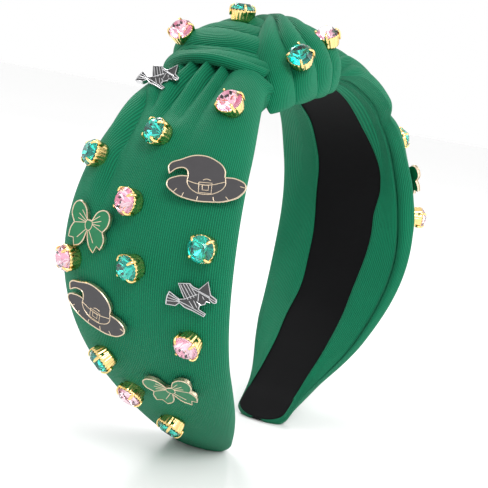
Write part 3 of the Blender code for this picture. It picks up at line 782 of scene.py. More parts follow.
def flat_coordinates(points):
    """Cloth coordinates: arc length round the widest ring across, arc length along."""
    closed = np.concatenate((points, points[:, :1]), axis=1)
    steps = np.linalg.norm(np.diff(closed, axis=1), axis=-1)
    widest = steps[steps.sum(axis=1).argmax()]
    across = np.concatenate(([0.0], np.cumsum(widest)))
    middle = points[:, points.shape[1] // 4]
    along = np.concatenate(([0.0], np.cumsum(np.linalg.norm(np.diff(middle, axis=0), axis=-1))))
    return np.stack(np.meshgrid(across, along), axis=-1)


def textile(name, points, material):
    return tube_skin(name, points, flat_coordinates(points), [material])


def make_cover(arm, rows):
    """Pleated cover of one arm, hemmed over the ribbon's edges."""
    along = arm_rows(COVER_BEGINS[arm], rows)
    half, height = cover_section(arm, along)
    front, back = (inner_flap(arm, along, half, height, edge) for edge in (-1, 1))
    ring = np.concatenate((outer_face(arm, along, half, height), front, back[:, ::-1]), axis=1)
    points = on_hoop(SIDES[arm] * ring[..., 0], ring[..., 1], ring[..., 2])
    points[..., 2] = np.maximum(points[..., 2], FLOOR_GAP)
    return textile(f"pleated_cover_{arm}", points, finishes().cloth)


# ---------------------------------------------------------------- lining

RIBBON_ROWS = 120
RIBBON_COLUMNS = 25
RIBBON_TIP_LIFT = 0.55          # how far the ribbon's end rises over the cloth's lip
RIBBON_TIP_WIDENING = 0.4
RIBBON_LEVEL = 0.02
RIBBON_WAVE = 0.03
RIBBON_SEED = 3


def make_ribbon(arm):
    """One half of the ribbon: thin and gently bowed."""
    along = arm_rows(0.0, RIBBON_ROWS)
    at_tip = ramp(along, ARM_LENGTH - 17.0, ARM_LENGTH - 8.0)
    half = lining_half_width(along) + RIBBON_TIP_WIDENING * at_tip
    share = np.linspace(-1.0, 1.0, RIBBON_COLUMNS)[None, :]
    wave = RIBBON_WAVE * soft_noise(along / 10.0, share * 2.0, RIBBON_SEED)
    face = joined_axes(along, half * share, RIBBON_LEVEL - RIBBON_TIP_LIFT * at_tip + wave)
    back = face[:, ::-1].copy()
    back[..., 2] = LINING_THICKNESS
    ring = np.concatenate((face, back), axis=1)
    points = on_hoop(SIDES[arm] * ring[..., 0], ring[..., 1], ring[..., 2])
    return textile(f"ribbon_{arm}", points, finishes().ribbon)


# ---------------------------------------------------------------- knot

# Control points of the knot's cloth in hoop coordinates: rows run along the folds
BAND_CONTROLS = (
    ((-43, -12, 3.6), (-34, -11, 7.5), (-23, -8, 10.5), (-12, -6, 12)),
    ((-47, -7, 5.0), (-37, -5, 10.4), (-24, -3, 13.6), (-11, -1, 15.4)),
    ((-48, 2, 5.6), (-38, 4, 11.6), (-25, 5, 14.8), (-9, 5, 16.6)),
    ((-47, 12, 4.6), (-38, 13, 10.6), (-24, 14, 14.6), (-8, 13, 17.0)),
    ((-44, 21, 1.6), (-36, 23, 8.0), (-23, 24, 12.2), (-9, 21, 14.6)),
    ((-39, 28, -3.0), (-33, 30, 2.2), (-21, 30.5, 7.4), (-10, 28, 9.4)),
    ((-34, 30, -6.5), (-28, 31, -4.5), (-20, 30.5, -2.0), (-11, 27, -0.5)),
    ((-31, 22, -6.5), (-27, 22, -6.5), (-20, 22, -6), (-12, 20, -5)),
)
LOOP_CONTROLS = (
    ((-4, 13, -2.6), (2, 13, -2.8), (8, 13, -2.8), (14, 13, -2.6)),
    ((-5, 21, -3.5), (2, 22, -4.0), (9, 22, -4.0), (16, 21, -3.5)),
    ((-6, 24, 4.0), (2, 25.5, 4.0), (9, 25.5, 4.0), (17, 24, 4.0)),
    ((-8, 20, 11.0), (-2, 21, 11.8), (5, 20, 11.6), (12, 19, 10.6)),
    ((-13, 11, 15.8), (-9, 11, 16.6), (-4, 10, 16.4), (2, 9, 15.2)),
    ((-17, 4.5, 16.6), (-13, 4, 17.8), (-9, 3, 17.8), (-4, 2, 16.6)),
    ((-27, 0.8, 14.6), (-20, -1.5, 17.6), (-12, -3.5, 17.8), (-4, -5, 15.2)),
    ((-35, -3.2, 11.4), (-27, -7.5, 15.2), (-16, -11, 15.6), (-5, -12.5, 12.8)),
    ((-40.5, -7.5, 7.2), (-32, -13.5, 10.8), (-19, -17.6, 11.8), (-6.5, -18, 9.2)),
    ((-46.5, -13.0, 2.4), (-36, -18.4, 4.6), (-21, -21.6, 5.2), (-8, -20.4, 4.2)),
    ((-48, -15.8, -2.2), (-37, -18.4, -3.0), (-22, -20.8, -3.2), (-9, -19.6, -2.6)),
    ((-43, -12.0, -2.4), (-34, -12.6, -2.8), (-21, -13.0, -2.8), (-9, -13, -2.4)),
)
# Width of each fold, as shares of the cloth across the folds
BAND_FOLDS = (0.15, 0.17, 0.08, 0.24, 0.17, 0.19)
LOOP_FOLDS = (0.36, 0.24, 0.20, 0.20)
FOLD_ROUNDNESS = 0.62           # lower is fuller
FOLD_HEIGHT = 5.0               # crest height for a fold's share of the width
FOLD_HIGHEST = 1.15
FOLD_MIDDLE = 0.75              # crest height that leaves the patch where it is
FOLD_WANDER = 0.22
BAND_SEED = 21
LOOP_SEED = 22
BUNDLE_MIDDLE = (-12.0, 2.0, 2.0)   # a point inside the knot, in hoop coordinates
BAND_GRID = (130, 150)          # rows along the folds and columns across them
LOOP_GRID = (170, 130)
BAND_WALL = 4.5
LOOP_WALL = 4.0
BAND_ROLL_OUT = 7.4             # the band's lowest fold is a roll that overhangs the pleats
BAND_ROLL_DOWN = 2.8
LOOP_START_PRESS = 0.9          # share of the folds pressed flat under the hoop's back edge
END_PRESS = 0.85
INNER_FACE_SHARE = 0.82


def bundle_shares(grid):
    """Shares along the folds, as a column, and across them, as a row."""
    return np.linspace(0.0, 1.0, grid[0])[:, None], np.linspace(0.0, 1.0, grid[1])[None, :]


def band_skin():
    """Hoop coordinates of the band, with its lowest fold as a full roll."""
    down, share = bundle_shares(BAND_GRID)
    skin = patch(BAND_CONTROLS, *BAND_GRID)
    over_arm = np.clip(np.sin((0.18 + 1.05 * down) * math.pi), 0.0, 1.0)
    roll = bell(share, 0.07, 0.16) * over_arm
    skin[..., 2] += BAND_ROLL_OUT * roll
    skin[..., 0] -= BAND_ROLL_DOWN * roll
    return skin


def fold_relief(share, widths):
    """Rounded folds with sharp valleys between them, from 0 in a valley to 1 on a crest."""
    edges = np.concatenate(([0.0], np.cumsum(widths)))
    place = np.interp(share, edges / edges[-1], np.arange(len(edges)))
    width = np.array(widths)[np.minimum(place.astype(int), len(widths) - 1)]
    height = np.minimum(width * FOLD_HEIGHT, FOLD_HIGHEST)
    return np.abs(np.sin(place * math.pi)) ** FOLD_ROUNDNESS * height


def folded_bundle(name, skin, folds, depth, wall, seed, start_press=0.0):
    """Closed bundle of cloth folds over a patch in hoop coordinates."""
    points = on_hoop(skin[..., 0], skin[..., 1], skin[..., 2])
    normal = grid_normals(points)
    if np.mean(np.sum(normal * (points - on_hoop(*BUNDLE_MIDDLE)), axis=-1)) < 0:
        normal = -normal
    down, share = bundle_shares(skin.shape[:2])
    wander = FOLD_WANDER * soft_noise(down * 6.0, share * 2.5, seed)
    crest = fold_relief(np.clip(share + wander * share * (1 - share) * 2.5, 0.0, 1.0), folds)
    rise = depth * MM * (crest - FOLD_MIDDLE) * mix(0.55, 1.0, np.sin(down * math.pi) ** 0.5)
    rise = rise * (1.0 - END_PRESS * ramp(down, 0.80, 0.94))
    rise = rise * (1.0 - start_press * ramp(down, 0.15, 0.07))
    points = points + normal * rise[..., None]
    inner = points - normal * wall * MM
    inner = mix(points.mean(axis=1, keepdims=True), inner, INNER_FACE_SHARE)
    ring = np.concatenate((points, inner[:, ::-1]), axis=1)
    return textile(name, ring, finishes().cloth)


# ---------------------------------------------------------------- geometry nodes

def placing_tree(name, prototype, material, foil=None):
    """Tree that stands a prototype on every point, turned by the point's own angles.

    Faces whose foiled attribute is set take the foil material, if one is given.
    """
    tree = bpy.data.node_groups.new(name, "GeometryNodeTree")
    tree.interface.new_socket("Geometry", in_out="INPUT", socket_type="NodeSocketGeometry")
    scale = tree.interface.new_socket("Scale", in_out="INPUT", socket_type="NodeSocketFloat")
    scale.default_value = 1.0
    tree.interface.new_socket("Geometry", in_out="OUTPUT", socket_type="NodeSocketGeometry")
    given = tree.nodes.new("NodeGroupInput")
    result = tree.nodes.new("NodeGroupOutput")
    source = add_node(tree, "GeometryNodeObjectInfo")
    source.inputs["Object"].default_value = prototype

    def attribute(label, kind):
        node = add_node(tree, "GeometryNodeInputNamedAttribute", data_type=kind)
        node.inputs["Name"].default_value = label
        return node.outputs[0]

    def paint(geometry, finish):
        node = add_node(tree, "GeometryNodeSetMaterial")
        node.inputs["Material"].default_value = finish
        tree.links.new(geometry, node.inputs["Geometry"])
        return node

    turn = add_node(tree, "FunctionNodeEulerToRotation")
    tree.links.new(attribute("angles", "FLOAT_VECTOR"), turn.inputs[0])
    instance = add_node(tree, "GeometryNodeInstanceOnPoints")
    for socket, value in (("Points", given.outputs["Geometry"]),
                          ("Instance", source.outputs["Geometry"]),
                          ("Rotation", turn.outputs[0]), ("Scale", given.outputs["Scale"])):
        tree.links.new(value, instance.inputs[socket])
    realize = add_node(tree, "GeometryNodeRealizeInstances")
    tree.links.new(instance.outputs[0], realize.inputs[0])
    last = paint(realize.outputs[0], material)
    if foil is not None:
        last = paint(last.outputs[0], foil)
        tree.links.new(attribute("foiled", "BOOLEAN"), last.inputs["Selection"])
    tree.links.new(last.outputs[0], result.inputs[0])
    return tree


def stand_on_points(name, matrices, tree):
    """Plain mesh of the tree's result on points given as matrices."""
    mesh = bpy.data.meshes.new(name + "_points")
    mesh.from_pydata([matrix.translation for matrix in matrices], [], [])
    angles = mesh.attributes.new("angles", "FLOAT_VECTOR", "POINT")
    values = [component for matrix in matrices for component in matrix.to_euler()]
    angles.data.foreach_set("vector", values)
    carrier = link_object(name + "_points", mesh)
    modifier = carrier.modifiers.new("placed", "NODES")
    modifier.node_group = tree
    modifier[tree.interface.items_tree["Scale"].identifier] = 1.0
    return link_object(name, evaluated_mesh(carrier, name))


# ---------------------------------------------------------------- settings and stones

CUP_BASE_RADIUS = 3.3
CUP_FLUTES = 20
FLUTE_DEPTH = 0.14
# Profile of the cup from its base, over the rim and down inside: height, radius, share of fluting
CUP_LEVELS = ((0.0, CUP_BASE_RADIUS - 0.5, 0.0), (0.15, CUP_BASE_RADIUS, 0.3), (0.8, 3.42, 0.9),
              (2.0, 3.62, 1.0), (3.0, 3.82, 1.0), (3.6, 3.9, 0.7), (3.85, 3.84, 0.3),
              (3.75, 3.62, 0.0), (3.0, 3.45, 0.0), (1.2, 3.1, 0.0))
RIM_LEVELS = (3.5, 3.9)         # heights between which the rim is scalloped
SCALLOP = 0.16
# Spine of a claw from its foot to its end: distance from the axis, height, half width
CLAW_SPINE = ((3.95, 2.0, 0.56), (4.12, 3.5, 0.54), (4.12, 4.3, 0.50), (3.86, 4.9, 0.46),
              (3.40, 5.32, 0.42), (3.02, 5.55, 0.32), (2.85, 5.58, 0.12))
CLAW_SIDES = 8
CLAW_FLATNESS = 0.62
STONE_RADIUS = 3.85
STONE_TABLE = 2.2
STONE_GIRDLE = 4.1
STONE_GIRDLE_HALF = 0.12
STONE_TOP = 5.9
STONE_CULET = 1.3
# Rings of the stone's corners: radius, count, turn in steps, height
STONE_RINGS = (
    (0.0, 1, 0, STONE_TOP),
    (STONE_TABLE, 8, 0.5, STONE_TOP),
    (3.08, 8, 0.0, mix(STONE_TOP, STONE_GIRDLE, 0.42)),
    (STONE_RADIUS, 16, 0.0, STONE_GIRDLE + STONE_GIRDLE_HALF),
    (STONE_RADIUS, 16, 0.0, STONE_GIRDLE - STONE_GIRDLE_HALF),
    (1.8, 8, 0.5, mix(STONE_GIRDLE, STONE_CULET, 0.52)),
    (0.0, 1, 0, STONE_CULET),
)
FACET_GLINT_SEED = 7


def round_point(radius, angle, height):
    return Vector((radius * math.cos(angle), radius * math.sin(angle), height)) * MM


def skin_rings(body, rings):
    """Close a bmesh's rings of vertices into one skin, capped at both ends."""
    for low, high in zip(rings, rings[1:]):
        for step, corner in enumerate(low):
            following = (step + 1) % len(low)
            body.faces.new((corner, low[following], high[following], high[step]))
    body.faces.new(rings[0][::-1])
    body.faces.new(rings[-1])


def setting_mesh():
    """Fluted cup with a scalloped rim and four claws bent over the stone's edge."""
    body = bmesh.new()
    count = CUP_FLUTES * 4
    rings = []
    for height, radius, fluting in CUP_LEVELS:
        on_rim = RIM_LEVELS[0] < height < RIM_LEVELS[1]
        ring = []
        for step in range(count):
            angle = 2 * math.pi * step / count
            flute = math.cos(angle * CUP_FLUTES)
            lift = SCALLOP * flute if on_rim else 0.0
            reach = radius + FLUTE_DEPTH * fluting * flute
            ring.append(body.verts.new(round_point(reach, angle, height + lift)))
        rings.append(ring)
    skin_rings(body, rings)
    for claw in range(4):
        add_claw(body, math.radians(90 * claw))
    bmesh.ops.recalc_face_normals(body, faces=body.faces[:])
    for face in body.faces:
        face.smooth = len(face.verts) == 4
    return mesh_of(body, "fluted_setting")


def add_claw(body, angle):
    """Tapered round-ended claw that rises outside the cup and folds in over the stone."""
    around = Vector((-math.sin(angle), math.cos(angle), 0.0))
    outwards = Vector((math.cos(angle), math.sin(angle), 0.0))
    rings = []
    for step, (reach, height, half) in enumerate(CLAW_SPINE):
        after = CLAW_SPINE[min(step + 1, len(CLAW_SPINE) - 1)]
        before = CLAW_SPINE[max(step - 1, 0)]
        forward = outwards * (after[0] - before[0]) + Vector((0, 0, after[1] - before[1]))
        thick = forward.normalized().cross(around).normalized()
        centre = outwards * reach + Vector((0, 0, height))
        ring = []
        for corner in range(CLAW_SIDES):
            turn = 2 * math.pi * corner / CLAW_SIDES
            offset = (around * math.cos(turn) + thick * CLAW_FLATNESS * math.sin(turn)) * half
            ring.append(body.verts.new((centre + offset) * MM))
        rings.append(ring)
    skin_rings(body, rings)


def stone_mesh():
    """Round brilliant: table, star, kite and girdle facets, and a foiled pavilion."""
    body = bmesh.new()
    for radius, count, offset, height in STONE_RINGS:
        for step in range(count):
            angle = 2 * math.pi * (step + offset) / count
            body.verts.new(round_point(radius, angle, height))
    hull = bmesh.ops.convex_hull(body, input=body.verts[:])
    unused = list({item for item in hull["geom_interior"] + hull["geom_unused"]
                   if isinstance(item, bmesh.types.BMVert)})
    bmesh.ops.delete(body, geom=unused, context="VERTS")
    bmesh.ops.dissolve_limit(body, angle_limit=math.radians(2.0), verts=body.verts[:],
                             edges=body.edges[:])
    bmesh.ops.recalc_face_normals(body, faces=body.faces[:])
    mesh = mesh_of(body, "brilliant_stone")
    foiled = mesh.attributes.new("foiled", "BOOLEAN", "FACE")
    foiled.data.foreach_set("value", [face.normal.z < -0.2 for face in mesh.polygons])
    # painted glints: a random tone per face sets the foil between its dark and light colours
    tone = mesh.attributes.new("facet", "FLOAT", "FACE")
    facet_glint_tones = np.random.default_rng(FACET_GLINT_SEED).uniform(0.0, 1.0, len(mesh.polygons))
    tone.data.foreach_set("value", facet_glint_tones.astype(np.float32))
    return mesh


def setting_nodes(body):
    """Nodes of one body that carry a claw setting, with their stone's colour."""
    owners = {"knot": "crown", "right": "right_arm", "left": "left_arm"}
    found = []
    for name in sorted(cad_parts):
        if not name.startswith(("set_stone_", "stone_left_")):
            continue
        *_, place, number, colour = name.split("_")
        if owners[place] == body:
            found.append((f"setting_left_{number}" if place == "left" else name, colour))
    return found


# How far each of the knot's settings leans from its seat, towards the front-left
KNOT_LEANS = {"back": (-0.75, -0.75, 0.1), "front": (-0.5, -0.55, -0.25),
              "right": (-0.25, -0.35, 0.0), "top": (-0.15, -0.1, 0.1)}
KNOT_UPWARDS = Vector((0.3, 0.2, 1.0))
KNOT_TURN = 15.0


def setting_matrices(body, colour=None):
    """Places of one body's settings, all or only those with one colour of stone."""
    matrices = []
    if body == "crown":
        for node, tint in setting_nodes(body):
            if colour in (None, tint):
                base, axis = node_seat(node)
                axis = (axis + Vector(KNOT_LEANS[node.split("_")[3]])).normalized()
                matrices.append(placing(base, axis, KNOT_UPWARDS, KNOT_TURN, 0.0))
        return matrices
    arm = body.split("_")[0]
    rng = np.random.default_rng(SETTING_SEED)
    for tint, along, across in ARM_STONES[arm]:
        lean, turn = rng.uniform(0.05, 0.45), rng.uniform(25.0, 60.0)
        if colour in (None, tint):
            point, normal, upwards = seat_on_cover(SIDES[arm], along, across)
            sideways = normal.cross(upwards)
            normal = (normal + lean * (sideways - 0.5 * upwards)).normalized()
            matrices.append(placing(point, normal, upwards, turn, -SETTING_SEAT))
    return matrices


# ---------------------------------------------------------------- charms

HAT_OUTLINE = (
    ((-0.49, -0.06), False), ((-0.40, -0.18), False), ((-0.20, -0.26), False),
    ((0.05, -0.28), False), ((0.29, -0.25), False), ((0.45, -0.16), False),
    ((0.50, -0.05), False), ((0.40, 0.03), False), ((0.23, 0.05), True),
    ((0.22, 0.15), False), ((0.11, 0.26), False), ((-0.12, 0.32), False),
    ((-0.34, 0.25), False), ((-0.48, 0.17), False), ((-0.47, 0.06), True),
    ((-0.36, 0.14), False), ((-0.26, 0.13), False), ((-0.23, 0.04), True),
    ((-0.36, 0.03), False),
)
BOW_OUTLINE = (
    ((0.06, 0.14), True), ((0.20, 0.36), False), ((0.43, 0.38), False),
    ((0.49, 0.18), False), ((0.39, 0.01), True), ((0.47, -0.15), False),
    ((0.43, -0.31), True), ((0.33, -0.27), True), ((0.28, -0.41), True),
    ((0.12, -0.30), False), ((0.0, -0.05), True), ((-0.10, -0.33), False),
    ((-0.25, -0.41), True), ((-0.31, -0.27), True), ((-0.44, -0.28), True),
    ((-0.44, -0.12), False), ((-0.38, 0.01), True), ((-0.50, 0.20), False),
    ((-0.41, 0.41), False), ((-0.20, 0.37), False), ((-0.06, 0.14), True),
)
WITCH_OUTLINE = (
    ((-0.45, 0.07), True), ((-0.49, -0.05), False), ((-0.50, -0.20), True),
    ((-0.31, -0.21), True), ((-0.23, -0.14), True), ((-0.12, -0.22), True),
    ((0.04, -0.27), True), ((0.28, -0.37), True), ((0.31, -0.31), True), ((0.16, -0.23), True),
    ((0.17, -0.13), False), ((0.11, -0.07), True), ((0.20, -0.14), True), ((0.28, -0.11), True),
    ((0.30, -0.05), True), ((0.38, -0.07), True), ((0.36, 0.0), True), ((0.49, -0.06), False),
    ((0.50, 0.01), True), ((0.38, 0.09), True), ((0.31, 0.36), True), ((0.14, 0.18), True),
    ((0.02, 0.22), False), ((-0.05, 0.28), True), ((-0.28, 0.26), True), ((-0.20, 0.09), True),
    ((-0.13, -0.05), True), ((-0.24, -0.07), True),
)
CHARM_SIZES = {"hat": 21.5, "bow": 15.0, "witch": 13.5}
CHARM_OUTLINES = {"hat": HAT_OUTLINE, "bow": BOW_OUTLINE, "witch": WITCH_OUTLINE}
# Raised lines inside each outline: open runs of points with corners where marked sharp
CHARM_LINES = {
    "hat": ((False, (-0.23, 0.05), (-0.235, -0.05), (-0.13, -0.16), (0.0, -0.185), (0.13, -0.16),
             (0.24, -0.06), (0.235, 0.05)),
            (False, (-0.235, -0.02), (-0.10, -0.055), (0.05, -0.06), (0.235, -0.01)),
            (True, (-0.09, -0.03), (-0.085, -0.165), (0.075, -0.17), (0.075, -0.035),
             (-0.09, -0.03)),
            (True, (-0.045, -0.065), (-0.04, -0.13), (0.035, -0.132), (0.035, -0.068),
             (-0.045, -0.065)),
            (False, (-0.04, 0.0), (0.0, 0.015), (0.06, 0.0)),
            (True, (-0.40, -0.18), (-0.36, -0.13)), (True, (-0.29, -0.235), (-0.27, -0.18)),
            (True, (-0.10, -0.275), (-0.09, -0.22)), (True, (0.12, -0.275), (0.10, -0.215)),
            (True, (0.30, -0.245), (0.26, -0.20)), (True, (0.49, -0.07), (0.43, -0.055))),
    "bow": ((False, (-0.06, 0.14), (-0.09, 0.05), (-0.03, -0.04), (0.04, -0.04), (0.09, 0.05),
             (0.06, 0.14), (-0.06, 0.14)),
            (True, (-0.09, 0.08), (-0.38, 0.01)), (True, (0.09, 0.08), (0.39, 0.01)),
            (True, (-0.08, 0.11), (-0.30, 0.20)), (True, (-0.09, 0.09), (-0.30, 0.11)),
            (True, (-0.06, 0.14), (-0.24, 0.28)), (True, (0.08, 0.11), (0.30, 0.20)),
            (True, (0.09, 0.09), (0.30, 0.11)), (True, (0.06, 0.14), (0.24, 0.28)),
            (True, (-0.04, -0.04), (-0.22, -0.24)), (True, (0.04, -0.04), (0.22, -0.24))),
    "witch": ((True, (-0.47, 0.01), (-0.24, -0.09)), (True, (-0.48, -0.06), (-0.24, -0.11)),
              (True, (-0.49, -0.13), (-0.24, -0.12)), (True, (-0.24, -0.06), (-0.24, -0.15)),
              (True, (-0.24, -0.11), (-0.10, -0.16), (0.30, -0.34)),
              (True, (-0.24, 0.24), (-0.06, -0.06)), (True, (-0.18, 0.25), (0.0, -0.03)),
              (True, (-0.12, 0.26), (0.06, 0.0)), (True, (-0.06, 0.26), (0.10, 0.04)),
              (True, (-0.13, -0.05), (0.11, 0.08)), (True, (0.0, 0.19), (0.49, -0.03)),
              (True, (0.12, 0.155), (0.37, 0.05)), (True, (0.13, 0.13), (0.37, 0.03)),
              (True, (0.14, 0.10), (0.14, -0.06)), (True, (0.22, 0.05), (0.26, -0.02)),
              (True, (-0.04, -0.08), (0.06, -0.22)), (True, (0.05, -0.06), (0.13, -0.20))),
}
CHARM_FINISH = {"hat": ("champagne", "hat"), "bow": ("champagne", "bow"),
                "witch": ("silver", "recess")}
PLATE_SHARE = 0.9               # plate's half thickness, as a share of the charm's
PLATE_RESOLUTION = 8
WIRE_RADIUS = 0.20
WIRE_RESOLUTION = 6
WIRE_HEIGHT = 0.84              # as a share of the charm's half thickness
INNER_WIRE = 0.7                # radius of the inner lines, as a share of the outline's
FACE_LEVEL = 0.7                # faces that look along the charm's axis by more than this are filled
WELD_DISTANCE = 0.00001         # metres


def add_run(curve, run, size, height=0.0, thickness=1.0, closed=False):
    """Bezier run through ((x, y), sharp) points."""
    spline = curve.splines.new("BEZIER")
    spline.bezier_points.add(len(run) - 1)
    for point, ((x, y), sharp) in zip(spline.bezier_points, run):
        point.co = Vector((x * size, y * size, height)) * MM
        point.handle_left_type = "VECTOR" if sharp else "AUTO"
        point.handle_right_type = point.handle_left_type
        point.radius = thickness
    spline.use_cyclic_u = closed


def plate_curve(outline, size, thickness):
    """Flat plate of a charm's outline."""
    curve = bpy.data.curves.new("plate", "CURVE")
    curve.dimensions = "2D"
    curve.fill_mode = "BOTH"
    curve.extrude = thickness * MM
    curve.resolution_u = PLATE_RESOLUTION
    add_run(curve, outline, size, closed=True)
    return curve


def wire_curve(outline, runs, size, height):
    """Raised wire along the outline and the inner lines."""
    curve = bpy.data.curves.new("wires", "CURVE")
    curve.dimensions = "3D"
    curve.bevel_depth = WIRE_RADIUS * MM
    curve.bevel_resolution = 2
    curve.use_fill_caps = True
    curve.resolution_u = WIRE_RESOLUTION
    add_run(curve, outline, size, height, closed=True)
    for sharp, *points in runs:
        add_run(curve, [(point, sharp) for point in points], size, height, INNER_WIRE)
    return curve


def curve_to_mesh(curve, matrix):
    """Plain welded mesh of a curve, with its place applied."""
    mesh = evaluated_mesh(link_object(curve.name, curve), curve.name)
    mesh.transform(matrix)
    body = bmesh.new()
    body.from_mesh(mesh)
    bmesh.ops.remove_doubles(body, verts=body.verts[:], dist=WELD_DISTANCE)
    bmesh.ops.recalc_face_normals(body, faces=body.faces[:])
    body.to_mesh(mesh)
    body.free()
    return mesh


def join_meshes(name, parts, materials):
    """One object from meshes whose faces already say which material they take."""
    body = bmesh.new()
    for mesh in parts:
        body.from_mesh(mesh)
        bpy.data.meshes.remove(mesh)
    joined = mesh_of(body, name)
    joined.shade_smooth()
    joined.set_sharp_from_angle(angle=math.radians(40))
    return finish_object(name, joined, materials)


def make_charm(name, kind, matrix):
    """Cast plate with raised metal lines and a filled floor."""
    size = CHARM_SIZES[kind]
    outline = CHARM_OUTLINES[kind]
    metal, fill = (getattr(finishes(), finish) for finish in CHARM_FINISH[kind])
    half = CHARM_THICKNESS / 2
    plate = curve_to_mesh(plate_curve(outline, size, half * PLATE_SHARE), matrix)
    wires = wire_curve(outline, CHARM_LINES[kind], size, half * WIRE_HEIGHT)
    lines = curve_to_mesh(wires, matrix)
    axis = matrix.to_3x3().col[2].normalized()
    for face in plate.polygons:
        face.material_index = 0 if abs(face.normal.dot(axis)) > FACE_LEVEL else 1
    lines.polygons.foreach_set("material_index", [1] * len(lines.polygons))
    return join_meshes(name, (plate, lines), (fill, metal))


# ---------------------------------------------------------------- settings of the add-on

class HeadbandFinish(bpy.types.PropertyGroup):
    cloth_colour: bpy.props.FloatVectorProperty(
        name="Cloth", description="Colour of the ribbed cloth", subtype="COLOR", size=3,
        min=0.0, max=1.0, default=(0.001, 0.185, 0.085))
    ribbon_colour: bpy.props.FloatVectorProperty(
        name="Ribbon", description="Colour of the lining ribbon", subtype="COLOR", size=3,
        min=0.0, max=1.0, default=(0.0035, 0.0035, 0.004))
    gold_colour: bpy.props.FloatVectorProperty(
        name="Gold", description="Colour of the claw settings", subtype="COLOR", size=3,
        min=0.0, max=1.0, default=(0.92, 0.68, 0.28))
    pink_colour: bpy.props.FloatVectorProperty(
        name="Rose stones", description="Tint of the rose stones", subtype="COLOR", size=3,
        min=0.0, max=1.0, default=(1.0, 0.93, 0.95))
    green_colour: bpy.props.FloatVectorProperty(
        name="Emerald stones", description="Tint of the emerald stones", subtype="COLOR", size=3,
        min=0.0, max=1.0, default=(0.42, 0.92, 0.84))


class HeadbandCloth(bpy.types.PropertyGroup):
    cover_rows: bpy.props.IntProperty(
        name="Cover rows", description="Rows of the covers' mesh along each arm",
        min=40, max=400, default=210)
    fold_depth: bpy.props.FloatProperty(
        name="Fold depth", description="Depth of the knot's folds in millimetres",
        min=0.0, max=5.0, default=2.6)


# ---------------------------------------------------------------- operators

BODY_OF_ARM = {"left": "left_arm", "right": "right_arm"}
BEND_START = FLEX_ALONG - 5.0
BEND_END = FLEX_ALONG + 9.0
BEND_LEVEL = 2.0
FIRST_WITCH_LEAN = (0.45, -0.35)    # outwards along X and to the front, over the pleats


def bend_between(piece, arm):
    """Bake a piece's place into its mesh; the ends of the stretch across the flex point are worked out
    but not used.
    """
    start, end = (tuple(on_hoop(np.array(SIDES[arm] * along), 0.0, BEND_LEVEL))
                  for along in (BEND_START, BEND_END))
    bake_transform(piece)


class HEADBAND_OT_covers(bpy.types.Operator):
    """Make the two pleated covers"""
    bl_idname = "headband.covers"
    bl_label = "Covers"

    def execute(self, context):
        replaced = {"left": ("cover_left",), "right": ("cover_right", "knot_tail")}
        for arm in SIDES:
            cover = make_cover(arm, context.scene.headband_cloth.cover_rows)
            bend_between(cover, arm)
            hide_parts(*replaced[arm])
        return {"FINISHED"}


class HEADBAND_OT_ribbon(bpy.types.Operator):
    """Make the ribbon lining in two halves that meet on the crown"""
    bl_idname = "headband.ribbon"
    bl_label = "Ribbon lining"

    def execute(self, context):
        replaced = {"left": ("lining_left_arm", "lining_crown"), "right": ("lining_right_arm",)}
        for arm in SIDES:
            ribbon = make_ribbon(arm)
            bend_between(ribbon, arm)
            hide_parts(*replaced[arm])
        return {"FINISHED"}


class HEADBAND_OT_knot(bpy.types.Operator):
    """Make the knot's band and loop"""
    bl_idname = "headband.knot"
    bl_label = "Knot"

    def execute(self, context):
        depth = context.scene.headband_cloth.fold_depth
        band = folded_bundle("folded_band", band_skin(), BAND_FOLDS, depth, BAND_WALL,
                             BAND_SEED)
        loop = folded_bundle("folded_loop", patch(LOOP_CONTROLS, *LOOP_GRID), LOOP_FOLDS, depth,
                             LOOP_WALL, LOOP_SEED, LOOP_START_PRESS)
        for piece, node in ((band, "knot_band"), (loop, "knot_loop")):
            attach(piece, "crown")
            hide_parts(node)
        return {"FINISHED"}


class HEADBAND_OT_hoop(bpy.types.Operator):
    """Give the plastic hoop inside the cloth its finish"""
    bl_idname = "headband.hoop"
    bl_label = "Plastic hoop"

    def execute(self, context):
        for name in ("hoop_crown", "hoop_left_arm", "hoop_right_arm"):
            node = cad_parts[name]
            node.data.materials.clear()
            node.data.materials.append(finishes().plastic)
        return {"FINISHED"}


class HEADBAND_OT_stones(bpy.types.Operator):
    """Set every stone in its claw setting"""
    bl_idname = "headband.stones"
    bl_label = "Stones and settings"

    def execute(self, context):
        cup = link_object("setting_prototype", setting_mesh())
        gem = link_object("stone_prototype", stone_mesh())
        cup_tree = placing_tree("claw settings", cup, finishes().gold)
        for body in ("crown", "left_arm", "right_arm"):
            cups = stand_on_points(f"settings_{body}", setting_matrices(body), cup_tree)
            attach(cups, body)
            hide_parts(*[name for name, _ in setting_nodes(body)])
            for colour in ("pink", "green"):
                tree = placing_tree(f"{colour} stones {body}", gem, finishes().glass[colour],
                                    finishes().foil[colour])
                stones = stand_on_points(f"{colour}_stones_{body}",
                                         setting_matrices(body, colour), tree)
                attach(stones, body)
                if body == "left_arm":
                    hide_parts(*[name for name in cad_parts
                                          if name.startswith("stone_left_") and name.endswith(colour)])
        for prototype in (cup, gem):
            bpy.data.objects.remove(prototype, do_unlink=True)
        return {"FINISHED"}


